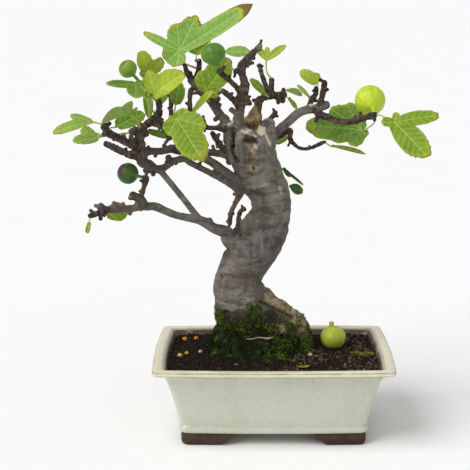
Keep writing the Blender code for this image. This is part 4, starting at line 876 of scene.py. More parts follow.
def scatter_tree(name):
    """Geometry nodes that set copies of one small object over a surface where a mask allows."""
    tree = bpy.data.node_groups.new(name, "GeometryNodeTree")
    face = tree.interface
    face.new_socket("Geometry", in_out="INPUT", socket_type="NodeSocketGeometry")
    sockets = {}
    for label, kind, value in (("Copy", "NodeSocketObject", None), ("Material", "NodeSocketMaterial", None),
                               ("Per Square Metre", "NodeSocketFloat", 100000.0),
                               ("Smallest", "NodeSocketFloat", 0.6), ("Largest", "NodeSocketFloat", 1.2),
                               ("Tilt", "NodeSocketFloat", 0.4), ("Seed", "NodeSocketInt", 1),
                               ("Mask", "NodeSocketString", "cover")):
        socket = face.new_socket(label, in_out="INPUT", socket_type=kind)
        if value is not None:
            socket.default_value = value
        sockets[label] = socket.identifier
    face.new_socket("Geometry", in_out="OUTPUT", socket_type="NodeSocketGeometry")
    nodes, links = tree.nodes, tree.links
    given, result = nodes.new("NodeGroupInput"), nodes.new("NodeGroupOutput")
    mask = nodes.new("GeometryNodeInputNamedAttribute")
    mask.data_type = "FLOAT"
    links.new(given.outputs["Mask"], mask.inputs["Name"])
    spread = nodes.new("GeometryNodeDistributePointsOnFaces")
    spread.distribute_method = "RANDOM"
    density = nodes.new("ShaderNodeMath")
    density.operation = "MULTIPLY"
    links.new(given.outputs["Per Square Metre"], density.inputs[0])
    links.new(mask.outputs["Attribute"], density.inputs[1])
    links.new(given.outputs["Geometry"], spread.inputs["Mesh"])
    links.new(density.outputs[0], spread.inputs["Density"])
    links.new(given.outputs["Seed"], spread.inputs["Seed"])
    copy = nodes.new("GeometryNodeObjectInfo")
    copy.transform_space = "ORIGINAL"
    links.new(given.outputs["Copy"], copy.inputs["Object"])
    size = nodes.new("FunctionNodeRandomValue")
    size.data_type = "FLOAT"
    links.new(given.outputs["Smallest"], size.inputs[2])
    links.new(given.outputs["Largest"], size.inputs[3])
    links.new(given.outputs["Seed"], size.inputs["Seed"])
    lean = nodes.new("FunctionNodeRandomValue")
    lean.data_type = "FLOAT_VECTOR"
    low = nodes.new("ShaderNodeCombineXYZ")
    high = nodes.new("ShaderNodeCombineXYZ")
    minus = nodes.new("ShaderNodeMath")
    minus.operation = "MULTIPLY"
    minus.inputs[1].default_value = -1.0
    links.new(given.outputs["Tilt"], minus.inputs[0])
    for axis in (0, 1):
        links.new(minus.outputs[0], low.inputs[axis])
        links.new(given.outputs["Tilt"], high.inputs[axis])
    high.inputs[2].default_value = 2 * math.pi
    links.new(low.outputs[0], lean.inputs[0])
    links.new(high.outputs[0], lean.inputs[1])
    links.new(given.outputs["Seed"], lean.inputs["Seed"])
    turn = nodes.new("FunctionNodeRotateRotation")
    turn.rotation_space = "LOCAL"
    euler = nodes.new("FunctionNodeEulerToRotation")
    links.new(lean.outputs[0], euler.inputs[0])
    links.new(spread.outputs["Rotation"], turn.inputs[0])
    links.new(euler.outputs[0], turn.inputs[1])
    place = nodes.new("GeometryNodeInstanceOnPoints")
    links.new(spread.outputs["Points"], place.inputs["Points"])
    links.new(copy.outputs["Geometry"], place.inputs["Instance"])
    links.new(turn.outputs[0], place.inputs["Rotation"])
    links.new(size.outputs[1], place.inputs["Scale"])
    real = nodes.new("GeometryNodeRealizeInstances")
    links.new(place.outputs[0], real.inputs[0])
    coat = nodes.new("GeometryNodeSetMaterial")
    links.new(real.outputs[0], coat.inputs["Geometry"])
    links.new(given.outputs["Material"], coat.inputs["Material"])
    links.new(coat.outputs[0], result.inputs[0])
    return tree, sockets


SCATTER, SCATTER_SOCKETS = scatter_tree("scatter_on_surface")


def scatter(name, surface, copy, material, density, smallest, largest, tilt, seed, mask="cover"):
    """A plain mesh of copies over a surface, as many as a density per square metre gives."""
    obj = bpy.data.objects.new(name, surface.data.copy())
    bpy.context.scene.collection.objects.link(obj)
    modifier = obj.modifiers.new("scatter", "NODES")
    modifier.node_group = SCATTER
    for label, value in (("Copy", copy), ("Material", material), ("Per Square Metre", density),
                         ("Smallest", smallest), ("Largest", largest), ("Tilt", tilt), ("Seed", seed),
                         ("Mask", mask)):
        modifier[SCATTER_SOCKETS[label]] = value
    evaluated_copy(obj)
    return obj


def drop(*objects):
    for obj in objects:
        bpy.data.objects.remove(obj, do_unlink=True)


# Each cushion: middle, half lengths, thickness and how uneven its edge is.
MOSS_BEDS = {
    "moss_mound": ((-20, 8), (70, 58), 4.2, 0.10),
    "moss_right": ((117, -5), (13, 9), 3.0, 0.3),
}


# Thick moss on the foot of the trunk: middle and radius.
MOSS_SPOTS = (((-71, -6, 144), 13.0), ((-66, -12, 130), 13.0), ((-27, -22, 159), 9.0), ((-14, -18, 161), 10.0),
              ((0, -12, 157), 9.0), ((20, 0, 165), 8.0), ((-40, -24, 136), 10.0), ((-14, -22, 138), 10.0))


def make_moss_bed(name, centre, radii, thickness, uneven, material):
    """A cushion of moss over the soil, humped like a carpet of small cushions."""
    spokes = 150 if radii[0] > 30 else 60
    shares = np.linspace(1.0, 0.02, 60 if radii[0] > 30 else 24)
    rings = []
    for share in [1.0] + list(shares):
        ring = []
        for i in range(spokes):
            turn = 2 * math.pi * i / spokes
            edge = 1 + uneven * 1.6 * noise.noise(Vector((2.2 * math.cos(turn), 2.2 * math.sin(turn), centre[0])))
            x = centre[0] + radii[0] * share * edge * math.cos(turn)
            y = centre[1] + radii[1] * share * edge * math.sin(turn)
            cushion = 0.6 + 0.7 * noise.noise(Vector((x / 9, y / 9, 1.7)))
            fine = 0.8 * noise.noise(Vector((x / 2.6, y / 2.6, 4.4)))
            rise = thickness * cushion * math.sqrt(max(0.0, 1 - share ** 4)) + fine
            ring.append((x, y, soil_height(x, y) + (rise if rings else -4.0)))
        rings.append(ring)
    return add_mesh(name, *loft(rings), [material])


# ---- Tree ----

def smooth_path(points, step):
    """Points along a smooth curve through a branch's own points, closer than a step apart."""
    rows = [np.array(p, float) for p in points]
    rows = [2 * rows[0] - rows[1]] + rows + [2 * rows[-1] - rows[-2]]
    made = []
    for a, b, c, d in zip(rows, rows[1:], rows[2:], rows[3:]):
        pieces = max(1, int(np.linalg.norm((c - b)[:3]) / step))
        for i in range(pieces):
            t = i / pieces
            made.append(0.5 * (2 * b + (c - a) * t + (2 * a - 5 * b + 4 * c - d) * t * t
                               + (3 * b - a - 3 * c + d) * t ** 3))
    made.append(rows[-2])
    return np.array(made)


def tube_rings(path, sides, shape=None):
    """Rings of a closed tube along rows of (x, y, z, radius), with rounded ends."""
    centres, radii = path[:, :3], path[:, 3]
    along = np.gradient(centres, axis=0)
    along /= np.linalg.norm(along, axis=1)[:, None]
    caps = ((0.35, 0.85), (0.6, 0.5))
    start = [centres[0] - along[0] * radii[0] * a for a, _ in reversed(caps)]
    end = [centres[-1] + along[-1] * radii[-1] * a for a, _ in caps]
    centres = np.vstack([start, centres, end])
    radii = np.concatenate([[radii[0] * r for _, r in reversed(caps)], radii, [radii[-1] * r for _, r in caps]])
    along = np.vstack([along[:1], along[:1], along, along[-1:], along[-1:]])
    side = np.cross(along[0], (0.3, 0.5, 0.8))
    turns = np.linspace(0, 2 * math.pi, sides + 1)[:-1]
    rings = []
    for k, (centre, radius, forward) in enumerate(zip(centres, radii, along)):
        side = side - forward * side.dot(forward)
        side /= np.linalg.norm(side)
        up = np.cross(forward, side)
        swell = shape(k, turns) if shape else np.ones(sides)
        rings.append([tuple(centre + radius * w * (math.cos(t) * side + math.sin(t) * up))
                      for t, w in zip(turns, swell)])
    return rings


def deepened(point):
    """The point set deeper into or out of the crown, along its line of sight."""
    share = (CROWN_DEPTH * point[1] - SIGHT_FROM[1]) / (point[1] - SIGHT_FROM[1])
    return tuple(s + (p - s) * share for p, s in zip(point, SIGHT_FROM))


def branch_path(name, step):
    rows = BRANCHES[name]
    if name not in STRAIGHT_BRANCHES and name not in OLD_WOOD:
        rows = [deepened(row[:3]) + tuple(row[3:]) for row in rows]
    return smooth_path(rows, step)


# How dark and knobbly the bark of each branch is: 0 old and grey, 1 young and dark.
GREY_BRANCHES = {"arm_low": 0.0, "arm_out": 0.12, "strut": 0.1, "grey_arm": 0.15, "long_arm": 0.45,
                 "right_arm": 0.12, "arm_low_nub": 0.3, "arm_out_end": 0.5, "arm_out_up": 0.75,
                 "dark_arm": 0.55, "stem_left": 0.6, "up_left": 0.55, "front_loop": 0.7, "crown": 0.75,
                 "back_arm": 0.8}
SOFT_START = ("up_left", "crown", "right_arm", "back_arm", "long_arm", "dark_arm", "stem_left")


def knobbly(path, young, rng):
    """The branch with swollen leaf-scar rings and uneven bark along it, and where the rings lie."""
    length = np.concatenate([[0], np.cumsum(np.linalg.norm(np.diff(path[:, :3], axis=0), axis=1))])
    rings = np.zeros(len(path))
    place = rng.uniform(2, 5)
    while place < length[-1]:
        width = rng.uniform(0.7, 1.2)
        rings = np.maximum(rings, np.exp(-((length - place) / width) ** 2) * rng.uniform(0.5, 1.0))
        place += rng.uniform(3.2, 8.0)
    uneven = np.array([noise.noise(Vector((s / 5.5, path[0, 0], 0.0))) for s in length])
    made = path.copy()
    made[:, 3] *= 1 + young * (0.20 * rings + 0.24 * uneven) + 0.05 * uneven
    return made, rings


def spurs(path, young, rng):
    """Short side stubs with swollen ends along a young branch, as centre lines of their own."""
    made = []
    length = np.concatenate([[0], np.cumsum(np.linalg.norm(np.diff(path[:, :3], axis=0), axis=1))])
    place = rng.uniform(4, 12)
    while young > 0.4 and place < length[-1]:
        k = int(np.searchsorted(length, place))
        forward = path[min(k + 1, len(path) - 1), :3] - path[max(k - 1, 0), :3]
        forward /= np.linalg.norm(forward)
        out = rng.normal(size=3)
        out -= forward * out.dot(forward)
        out = out / np.linalg.norm(out) + 0.5 * forward
        radius = path[k, 3]
        reach = radius + rng.uniform(1.5, 4.5)
        thick = rng.uniform(0.42, 0.62) * radius
        root, tip = path[k, :3], path[k, :3] + out * reach
        made.append(np.array([(*root, thick), (*((root + tip) / 2), thick), (*tip, thick * 1.25)]))
        place += rng.uniform(7.0, 17.0)
    return made


def tree_part(name, names, voxel, step, sides, bark, seed):
    """Branches joined into one skin, with the attributes their bark needs."""
    rng = np.random.default_rng(seed)
    points, faces, spine, marks = [], [], [], []
    for branch in names:
        path = branch_path(branch, step)
        young = 0.0 if branch in STRAIGHT_BRANCHES or branch in OLD_WOOD else GREY_BRANCHES.get(branch, 1.0)
        path, rings = knobbly(path, young, rng)
        phase = rng.uniform(0, 6.28, 3)

        def lumpy(k, turns, phase=phase, young=young):
            slow = 0.05 * np.sin(2 * turns + phase[0] + k * 0.11) + 0.04 * np.sin(3 * turns + phase[1] - k * 0.17)
            return 1 + slow * (0.6 + 0.9 * young)

        for line, count in [(path, sides)] + [(smooth_path(spur, 0.8), 8) for spur in spurs(path, young, rng)]:
            new_points, new_faces = loft(tube_rings(line, count, lumpy if line is path else None))
            offset = len(points)
            points += new_points
            faces += [tuple(i + offset for i in face) for face in new_faces]
        share = np.linspace(0, 1, len(path))
        dark = np.full(len(path), young)
        if branch in SOFT_START:
            dark = young * smooth_step(0.0, 0.45, share) + 0.1
        spine += [tuple(p) for p in path]
        marks += [(r, d, q) for r, d, q in zip(rings, dark, path[:, 3])]
    obj = add_mesh(name, points, faces, [bark])
    remesh = obj.modifiers.new("join", "REMESH")
    remesh.mode = "VOXEL"
    remesh.voxel_size = voxel * MM
    evaluated_copy(obj)
    obj.data.shade_smooth()
    spine, marks = np.array(spine), np.array(marks)
    tree = KDTree(len(spine))
    for i, p in enumerate(spine):
        tree.insert(Vector(p[:3]), i)
    tree.balance()
    skin = positions(obj)
    found = np.empty(len(skin), int)
    for i, p in enumerate(skin):
        best = min(tree.find_n(Vector(p), 3), key=lambda hit: abs(hit[2] - spine[hit[1], 3]))
        found[i] = best[1]
    paint(obj, "ring", marks[found, 0])
    paint(obj, "twig", np.clip(marks[found, 1], 0, 1))
    return obj, skin, marks[found]


# Old cuts and bare roots: middle, radius and kind.
SCARS = (
    ((-15, -12, 389), 8.0, "pale"), ((-5, 0, 399), 7.0, "wood"), ((-53, -6, 399), 6.5, "pale"),
    ((-34, 15, 397), 14.0, "wood"), ((-24, 16, 408), 14.0, "wood"), ((-18, 15, 395), 11.0, "wood"),
    ((-30, -16, 391), 5.0, "pale"), ((11, -14, 127), 12.0, "root"), ((0, -2, 170), 13.0, "root"),
    ((16, -2, 160), 15.0, "root"), ((30, -2, 149), 15.0, "root"), ((41, -2, 134), 12.0, "root"),
    ((-36, -17, 452), 4.5, "pale"), ((-16, -45, 494), 5.0, "wood"), ((42, 6, 412), 3.4, "wood"),
    ((50, 14, 417), 4.0, "pale"), ((-10, 55, 455), 3.4, "pale"), ((-176, -60, 312), 4.5, "wood"),
)

# Marks on the front of the trunk, each from one (x, z) to another: half width, kind and strength. The near-black kind
# is painted shade in holes and a crevice.
FRONT_MARKS = (
    ((-34, 378), (-22, 376), 4.2, "hollow", 0.85), ((-40, 381), (-36, 379), 3.0, "wood", 0.9),
    ((-28, 368), (-24, 362), 3.4, "wood", 0.9), ((-23, 372), (-21, 368), 2.4, "pale", 0.7),
    ((-25, 345), (-24, 341), 5.0, "wood", 0.7), ((-25, 344), (-24, 342), 2.2, "hollow", 0.9),
    ((-75, 168), (-62, 166), 1.1, "pale", 0.25), ((-52, 165), (-30, 167), 1.2, "pale", 0.38),
    ((-26, 168), (-15, 171), 1.0, "pale", 0.28),
    ((-66, 202), (-65, 200), 2.2, "hollow", 0.7), ((-32, 318), (-8, 322), 3.0, "pale", 0.25),
    ((-30, 300), (-8, 301), 6.0, "wood", 0.16), ((-60, 254), (-44, 262), 4.0, "wood", 0.2),
    ((-10, 386), (-4, 371), 2.0, "pale", 0.85), ((-39, 389), (-22, 382), 1.9, "pale", 0.9),
    ((8, 318), (11, 310), 2.0, "pale", 0.45),
)


def near_line(skin, start, end):
    """How far each point is, seen from the front, from a short straight line."""
    start, end = np.array(start, float), np.array(end, float)
    along = end - start + 1e-6
    flat = skin[:, [0, 2]]
    share = np.clip(((flat - start) @ along) / (along @ along), 0, 1)
    return np.linalg.norm(flat - (start + share[:, None] * along), axis=1)


def dress_bark(obj, skin, normals, trunk):
    """Marks the cuts, bare roots and earthy foot of the tree for its bark, and paints shade into its crevices and
    holes and onto the front of its foot below the root flare.
    """
    layers = {kind: np.zeros(len(skin)) for kind in ("wood", "pale", "hollow", "root")}
    ragged = 1 + 0.5 * wobble(skin, 4.0, 2.0)
    for middle, radius, kind in SCARS:
        away = np.linalg.norm(skin - np.array(middle), axis=1) * ragged
        layers[kind] = np.maximum(layers[kind], 1 - smooth_step(0.6 * radius, radius, away))
    if trunk:
        front = 1 - smooth_step(-0.45, -0.1, normals[:, 1])
        for start, end, width, kind, strength in FRONT_MARKS:
            away = near_line(skin, start, end) * ragged
            mark = strength * (1 - smooth_step(0.5 * width, 1.1 * width, away))
            layers[kind] = np.maximum(layers[kind], mark * front)
        # Painted shade: the front of the trunk's foot below the root flare is darkened almost to black.
        under = 1 - smooth_step(145, 157, skin[:, 2] + 6 * wobble(skin, 9.0, 6.0))
        under *= 1 - smooth_step(0, 15, skin[:, 0])
        layers["hollow"] = np.maximum(layers["hollow"], 0.94 * front * under)
        # Painted shade along each crevice, darker the deeper it is.
        for start, end, depth, width in CREVICES:
            dark = np.clip(0.19 * depth, 0, 0.97) * np.exp(-(near_line(skin, start, end) / (0.62 * width)) ** 2)
            layers["hollow"] = np.maximum(layers["hollow"], dark * front)
    for kind, values in layers.items():
        paint(obj, kind, values)
    level = skin[:, 2] + 7 * wobble(skin, 14.0, 2.0) + 0.22 * np.clip(skin[:, 0] + 20, 0, 60)
    paint(obj, "earth", 0.92 - 0.92 * smooth_step(152, 166, level))


# Grooves in the front of the trunk, each from one (x, z) to another: depth and width. Their depth also sets how dark
# the painted shade along them is.
CREVICES = (
    ((-50, 390), (-49, 368), 6.5, 2.6), ((-49, 368), (-45, 350), 6.5, 2.6), ((-34, 378), (-22, 376), 4.5, 4.4),
    ((-30, 392), (-24, 374), 2.5, 3.0), ((-29, 360), (-30, 352), 3.0, 3.0), ((-36, 350), (-20, 347), 2.4, 3.0),
    ((-48, 322), (-14, 339), 2.2, 2.8), ((-44, 316), (-18, 311), 1.8, 2.6), ((-20, 307), (14, 312), 1.6, 2.4),
    ((-18, 296), (16, 301), 1.4, 2.4), ((-18, 287), (6, 282), 1.5, 2.6), ((-62, 252), (-42, 260), 2.0, 3.4),
    ((-30, 262), (4, 268), 1.5, 2.6), ((-66, 230), (-22, 226), 1.4, 2.8), ((-52, 214), (-20, 219), 1.2, 2.4),
    ((-72, 204), (-30, 199), 1.4, 2.8), ((-70, 187), (-48, 184), 1.6, 2.6), ((-77, 168), (-42, 165), 2.2, 2.0),
    ((-42, 165), (-12, 170), 2.2, 2.0), ((-18, 190), (2, 172), 3.0, 3.6), ((-16, 166), (24, 144), 4.5, 4.6),
    ((-60, 152), (-52, 126), 3.5, 4.5), ((-30, 150), (-26, 126), 3.0, 5.0), ((4, 262), (20, 300), 1.2, 3.0),
)


def carve(skin, normals, crevices):
    """Pushes the surface in along short lines."""
    made = skin.copy()
    front = 1 - smooth_step(-0.35, -0.05, normals[:, 1])
    for start, end, depth, width in crevices:
        away = near_line(skin, start, end) * (1 + 0.25 * wobble(skin, 6.0, 7.0))
        made -= normals * (front * depth * np.exp(-(away / width) ** 2))[:, None]
    return made


# Splintered dead wood between the forks and the raised rim of an old cut, as more centre lines.
OLD_WOOD = {
    "splinter_left": [(-41, 14, 380, 5), (-36, 14, 396, 4), (-26, 15, 411, 2.4), (-23, 15, 417, 1.6)],
    "splinter_middle": [(-30, 13, 380, 7), (-27, 14, 396, 5), (-23, 15, 414, 2)],
    "splinter_right": [(-14, 13, 380, 6), (-17, 14, 396, 4.5), (-22, 15, 412, 2.4)],
    "left_lip": [(-56, -1, 384, 6.5), (-52, -6, 392, 6), (-45, -10, 392, 5)],
    "cross_ridge": [(-44, -8, 393, 3.6), (-34, -13, 389, 4), (-25, -15, 382, 4.6), (-17, -14, 375, 5)],
    "cut_peg": [(-17, -8, 366, 9), (-14, -6, 383, 7), (-14, -4, 392, 5.6)],
    "left_strap": [(-57, -4, 388, 5), (-56, -9, 370, 5.5), (-50, -10, 350, 6)],
    "middle_lobe": [(-40, -14, 384, 6), (-41, -18, 366, 7), (-36, -18, 348, 7)],
}


def make_tree(bark):
    BRANCHES.update(OLD_WOOD)
    low_names = [n for n in BRANCHES if n in STRAIGHT_BRANCHES or n in OLD_WOOD]
    high_names = [n for n in BRANCHES if n not in low_names]
    trunk, skin, _ = tree_part("tree_trunk", low_names, 1.35, 3.0, 40, bark, 3)
    normals = point_normals(trunk)
    lower = 1 - smooth_step(150, 215, skin[:, 2])
    folds = wobble(skin * np.array([0.35, 0.35, 1.0]), 9.0, 6.0)
    flutes = wobble(skin * np.array([1.0, 1.0, 0.28]), 12.0, 1.0)
    lumps = wobble(skin, 26.0, 4.0)
    grit = wobble(skin, 4.5, 8.0)
    top = smooth_step(335, 365, skin[:, 2])
    lift = 1.3 * lumps + (0.9 * folds) * (1 - lower) + lower * 3.0 * flutes + (0.25 + 1.1 * lower + 1.0 * top) * grit
    skin = carve(skin + normals * lift[:, None], normals, CREVICES)
    move_points(trunk, skin)
    dress_bark(trunk, skin, normals, True)
    finish(trunk, "bark", "tree")
    crown, skin, marks = tree_part("tree_branches", high_names, 1.16, 1.3, 14, bark, 5)
    normals = point_normals(crown)
    lift = (0.10 + 0.38 * marks[:, 1]) * wobble(skin, 2.6, 3.0) + 0.25 * wobble(skin, 7.0, 9.0)
    skin = skin + normals * lift[:, None]
    move_points(crown, skin)
    dress_bark(crown, skin, normals, False)
    finish(crown, "bark")
    return trunk, crown


# ---- Leaves ----

def lobe_half_width(t, width):
    """Half width of a lobe at a share t of its length: a narrow waist, a broad middle, a round tip."""
    t = np.clip(t, 0.0, 1.0)
    return 0.5 * width * (1 - t) ** 0.6 * (0.35 + 1.3 * t) / 0.66


def blade_reach(lobes, spokes):
    """How far the blade reaches from its base along each spoke."""
    longest = max(length for _, length, _ in lobes)
    rho = np.linspace(0, longest, 400)[1:]
    reach = np.zeros(spokes)
    for i in range(spokes):
        turn = 2 * math.pi * i / spokes
        inside = rho < 2.6
        for angle, length, width in lobes:
            away = turn - math.radians(angle)
            along, across = rho * math.cos(away), rho * math.sin(away)
            inside |= (along > 0) & (along < length) & (np.abs(across) < lobe_half_width(along / length, width))
        out = np.flatnonzero(~inside)
        reach[i] = rho[out[0]] if len(out) else longest
    return reach


def lobe_place(turn, rho, lobes):
    """Length along and distance across the lobe that a point of the blade belongs to."""
    best = None
    for angle, length, width in lobes:
        away = turn - math.radians(angle)
        along, across = rho * math.cos(away), rho * math.sin(away)
        score = abs(across) / max(1.0, lobe_half_width(max(0.0, along) / length, width)) + (4 if along < 0 else 0)
        if best is None or score < best[0]:
            best = (score, along, across)
    return best[1], best[2]


def leaf_frame(base, tip, facing):
    ahead = Vector(tip) - Vector(base)
    ahead.normalize()
    up = Vector(facing)
    up -= ahead * up.dot(ahead)
    up.normalize()
    return Vector(base), ahead, ahead.cross(up), up


def make_leaf(name, row, materials, seed):
    """A lobed blade with raised puckers between its veins, and the stalk that carries it."""
    rng = np.random.default_rng(seed)
    facing, fold, arch, lobes = row[3:]
    start, base, tip = (deepened(point) for point in row[:3])
    origin, ahead, side, up = leaf_frame(base, tip, facing)
    length = max(item[1] for item in lobes)
    spokes = 150 if length > 30 else 80
    shares = np.linspace(0, 1, 15 if length > 30 else 10)[1:] ** 0.85
    reach = blade_reach(lobes, spokes)
    reach = 0.5 * reach + 0.25 * (np.roll(reach, 1) + np.roll(reach, -1))
    turns = [2 * math.pi * i / spokes for i in range(spokes)]
    for i, t in enumerate(turns):
        tooth = abs(math.sin(math.pi * lobe_place(t, reach[i], lobes)[0] / 6.0 + seed)) - 0.5
        rough = noise.noise(Vector((math.cos(t) * 4, math.sin(t) * 4, seed)))
        if reach[i] > 5:
            reach[i] *= 1 + 0.05 * tooth + 0.05 * rough
    ripple, phase = rng.uniform(0.7, 1.3), rng.uniform(0, 6.28)
    worn = BROWN_TIPS.get(name.removeprefix("grown_"), 0.0)
    upper, facts, flat = [], [], []
    for share in shares:
        ring = []
        for t, far in zip(turns, reach):
            rho = far * share
            x, y = rho * math.cos(t), rho * math.sin(t)
            along, across = lobe_place(t, rho, lobes)
            out = rho / length
            lift = fold * math.sqrt(y * y + 4) - fold * 2 + arch * length * out * (1 - out)
            lift += 0.055 * length * ripple * math.sin(4 * t + phase) * (far / length) * share ** 3
            lift -= 0.55 * math.exp(-(across / 1.3) ** 2) * min(1.0, length / 40)
            veins = (along - 0.75 * abs(across)) / 8.5
            lift += 0.32 * math.cos(2 * math.pi * veins) * min(1.0, abs(across) / 4) * (1 - share ** 4) * -1
            ring.append(origin + ahead * x + side * y + up * lift)
            facts.append((along, across, share ** 2 + worn * smooth_step(0.74, 0.98, x / length)))
            flat.append((x / 100, y / 100))
        upper.append(ring)
    thick = 0.5
    lower = [[p - up * thick for p in ring] for ring in upper]
    rings = upper + list(reversed(lower))
    points, faces = loft([[tuple(p) for p in ring] for ring in rings], closed_ends=False)
    layer = len(shares) * spokes
    back = [facts[(len(shares) - 1 - k) * spokes + i] for k in range(len(shares)) for i in range(spokes)]
    back_flat = [flat[(len(shares) - 1 - k) * spokes + i] for k in range(len(shares)) for i in range(spokes)]
    facts, flat = facts + back, flat + back_flat
    points += [tuple(origin), tuple(origin - up * thick)]
    facts += [(0, 0, 0), (0, 0, 0)]
    flat += [(0, 0), (0, 0)]
    faces += [(len(points) - 2, (i + 1) % spokes, i) for i in range(spokes)]
    last = (len(rings) - 1) * spokes
    faces += [(len(points) - 1, last + i, last + (i + 1) % spokes) for i in range(spokes)]
    blade_faces = len(faces)
    path = stalk_path(start, origin, ahead, up, length)
    stalk_points, stalk_faces = loft(tube_rings(path, 10))
    offset = len(points)
    points += stalk_points
    faces += [tuple(i + offset for i in face) for face in stalk_faces]
    facts += [(0, 0, 0)] * len(stalk_points)
    flat += [(0, 0)] * len(stalk_points)
    leaf = add_mesh(name, points, faces, materials)
    facts = np.array(facts, float)
    paint(leaf, "vein_along", facts[:, 0])
    paint(leaf, "vein_across", facts[:, 1])
    paint(leaf, "margin", facts[:, 2])
    uv = leaf.data.uv_layers.new(name="UVMap")
    for loop in leaf.data.loops:
        uv.data[loop.index].uv = flat[loop.vertex_index]
    for i, polygon in enumerate(leaf.data.polygons):
        if i >= blade_faces:
            polygon.material_index = 2
        elif (min(polygon.vertices) >= layer - spokes and max(polygon.vertices) >= layer
              and i < blade_faces - 2 * spokes):
            polygon.material_index = 1
        elif i >= blade_faces - spokes:
            polygon.material_index = 1
    return leaf


def stalk_path(start, origin, ahead, up, length):
    """From under the blade's base back into the twig, with a slight bow and a swollen foot."""
    first = np.array(origin + ahead * min(3.0, 0.1 * length) - up * 0.9)
    second = np.array(origin - ahead * 2.0 - up * 1.3)
    end = np.array(start, float)
    reach = np.linalg.norm(end - second)
    middle = (second + end) / 2 - np.array(ahead) * min(6.0, 0.15 * reach)
    thin = 0.75 if length < 30 else 1.0
    rows = [tuple(first) + (0.5 * thin,), tuple(second) + (thin,), tuple(middle) + (0.95 * thin,),
            tuple(end * 0.93 + middle * 0.07) + (1.5 * thin,), tuple(end) + (1.7 * thin,)]
    return smooth_path(rows, 2.0)


# How far browning has spread from the tip of each leaf that has any.
BROWN_TIPS = {"leaf_top_long": 0.40, "leaf_right_large": 0.42, "leaf_front_large": 0.35, "leaf_curled_pale": 0.5}

# Which green each leaf is: fresh unless it is named here.
LEAF_GREENS = {
    "leaf_top_long": "blue", "leaf_top_small": "yellow", "leaf_behind_fig": "blue", "leaf_crown_low": "fresh",
    "leaf_upper_left": "yellow", "leaf_folded": "yellow", "leaf_twisted": "yellow", "leaf_dark_left": "deep",
    "leaf_far_left": "grey", "leaf_left_low": "grey", "leaf_stem_back": "deep", "leaf_stem_strip": "deep",
    "leaf_cluster_low": "deep", "leaf_pale_arch": "deep", "leaf_butterfly": "yellow", "leaf_inner": "deep",
    "leaf_right_round": "yellow", "leaf_right_thin": "grey", "leaf_curled_pale": "grey",
    "leaf_trunk_oval": "dark", "leaf_trunk_sprig": "dark", "leaf_right_large": "deep", "leaf_left_lobed": "deep",
}
GREENS = {
    "fresh": ((0.155, 0.275, 0.011), (0.075, 0.155, 0.007), (0.42, 0.52, 0.09), 0.35),
    "yellow": ((0.34, 0.46, 0.020), (0.18, 0.30, 0.012), (0.56, 0.62, 0.14), 0.5),
    "deep": ((0.115, 0.24, 0.014), (0.050, 0.13, 0.009), (0.32, 0.46, 0.10), 0.25),
    "grey": ((0.24, 0.40, 0.045), (0.13, 0.25, 0.028), (0.46, 0.57, 0.18), 0.3),
    "blue": ((0.20, 0.40, 0.055), (0.11, 0.26, 0.030), (0.40, 0.56, 0.16), 0.8),
    "dark": ((0.035, 0.095, 0.018), (0.015, 0.045, 0.010), (0.09, 0.18, 0.04), 0.1),
}


def make_leaves():
    stalk = stalk_material()
    tops, unders = {}, {}
    for green, (fresh, deep, vein, brown) in GREENS.items():
        tops[green] = blade_material(f"leaf_top_{green}", fresh, deep, vein, brown, 0.42)
        pale = tuple(0.55 * c + 0.45 * p for c, p in zip(fresh, (0.46, 0.60, 0.18)))
        shade = tuple(0.6 * c + 0.4 * p for c, p in zip(deep, (0.32, 0.46, 0.12)))
        unders[green] = blade_material(f"leaf_under_{green}", pale, shade, vein, brown, 0.62)
    for seed, (name, row) in enumerate(LEAVES.items()):
        green = LEAF_GREENS.get(name, "fresh")
        leaf = make_leaf(f"grown_{name}", row, [tops[green], unders[green], stalk], seed + 1)
        finish(leaf, "leaf", name)


# ---- Figs ----

FIG_PROFILE = ((0.0, 0.955), (0.07, 0.975), (0.12, 1.02), (0.2, 1.0), (0.34, 0.975), (0.5, 0.92), (0.66, 0.81),
               (0.8, 0.65), (0.91, 0.44), (0.98, 0.2), (1.0, -0.02), (0.97, -0.24), (0.89, -0.45),
               (0.76, -0.64), (0.6, -0.8), (0.42, -0.95), (0.27, -1.08))


BLUSH_SIDE = Vector((-0.82, -0.45, 0.35))
ROUND_PROFILE = FIG_PROFILE[:11] + ((0.985, -0.2), (0.93, -0.4), (0.83, -0.58), (0.68, -0.75), (0.5, -0.87),
                                    (0.32, -0.94))


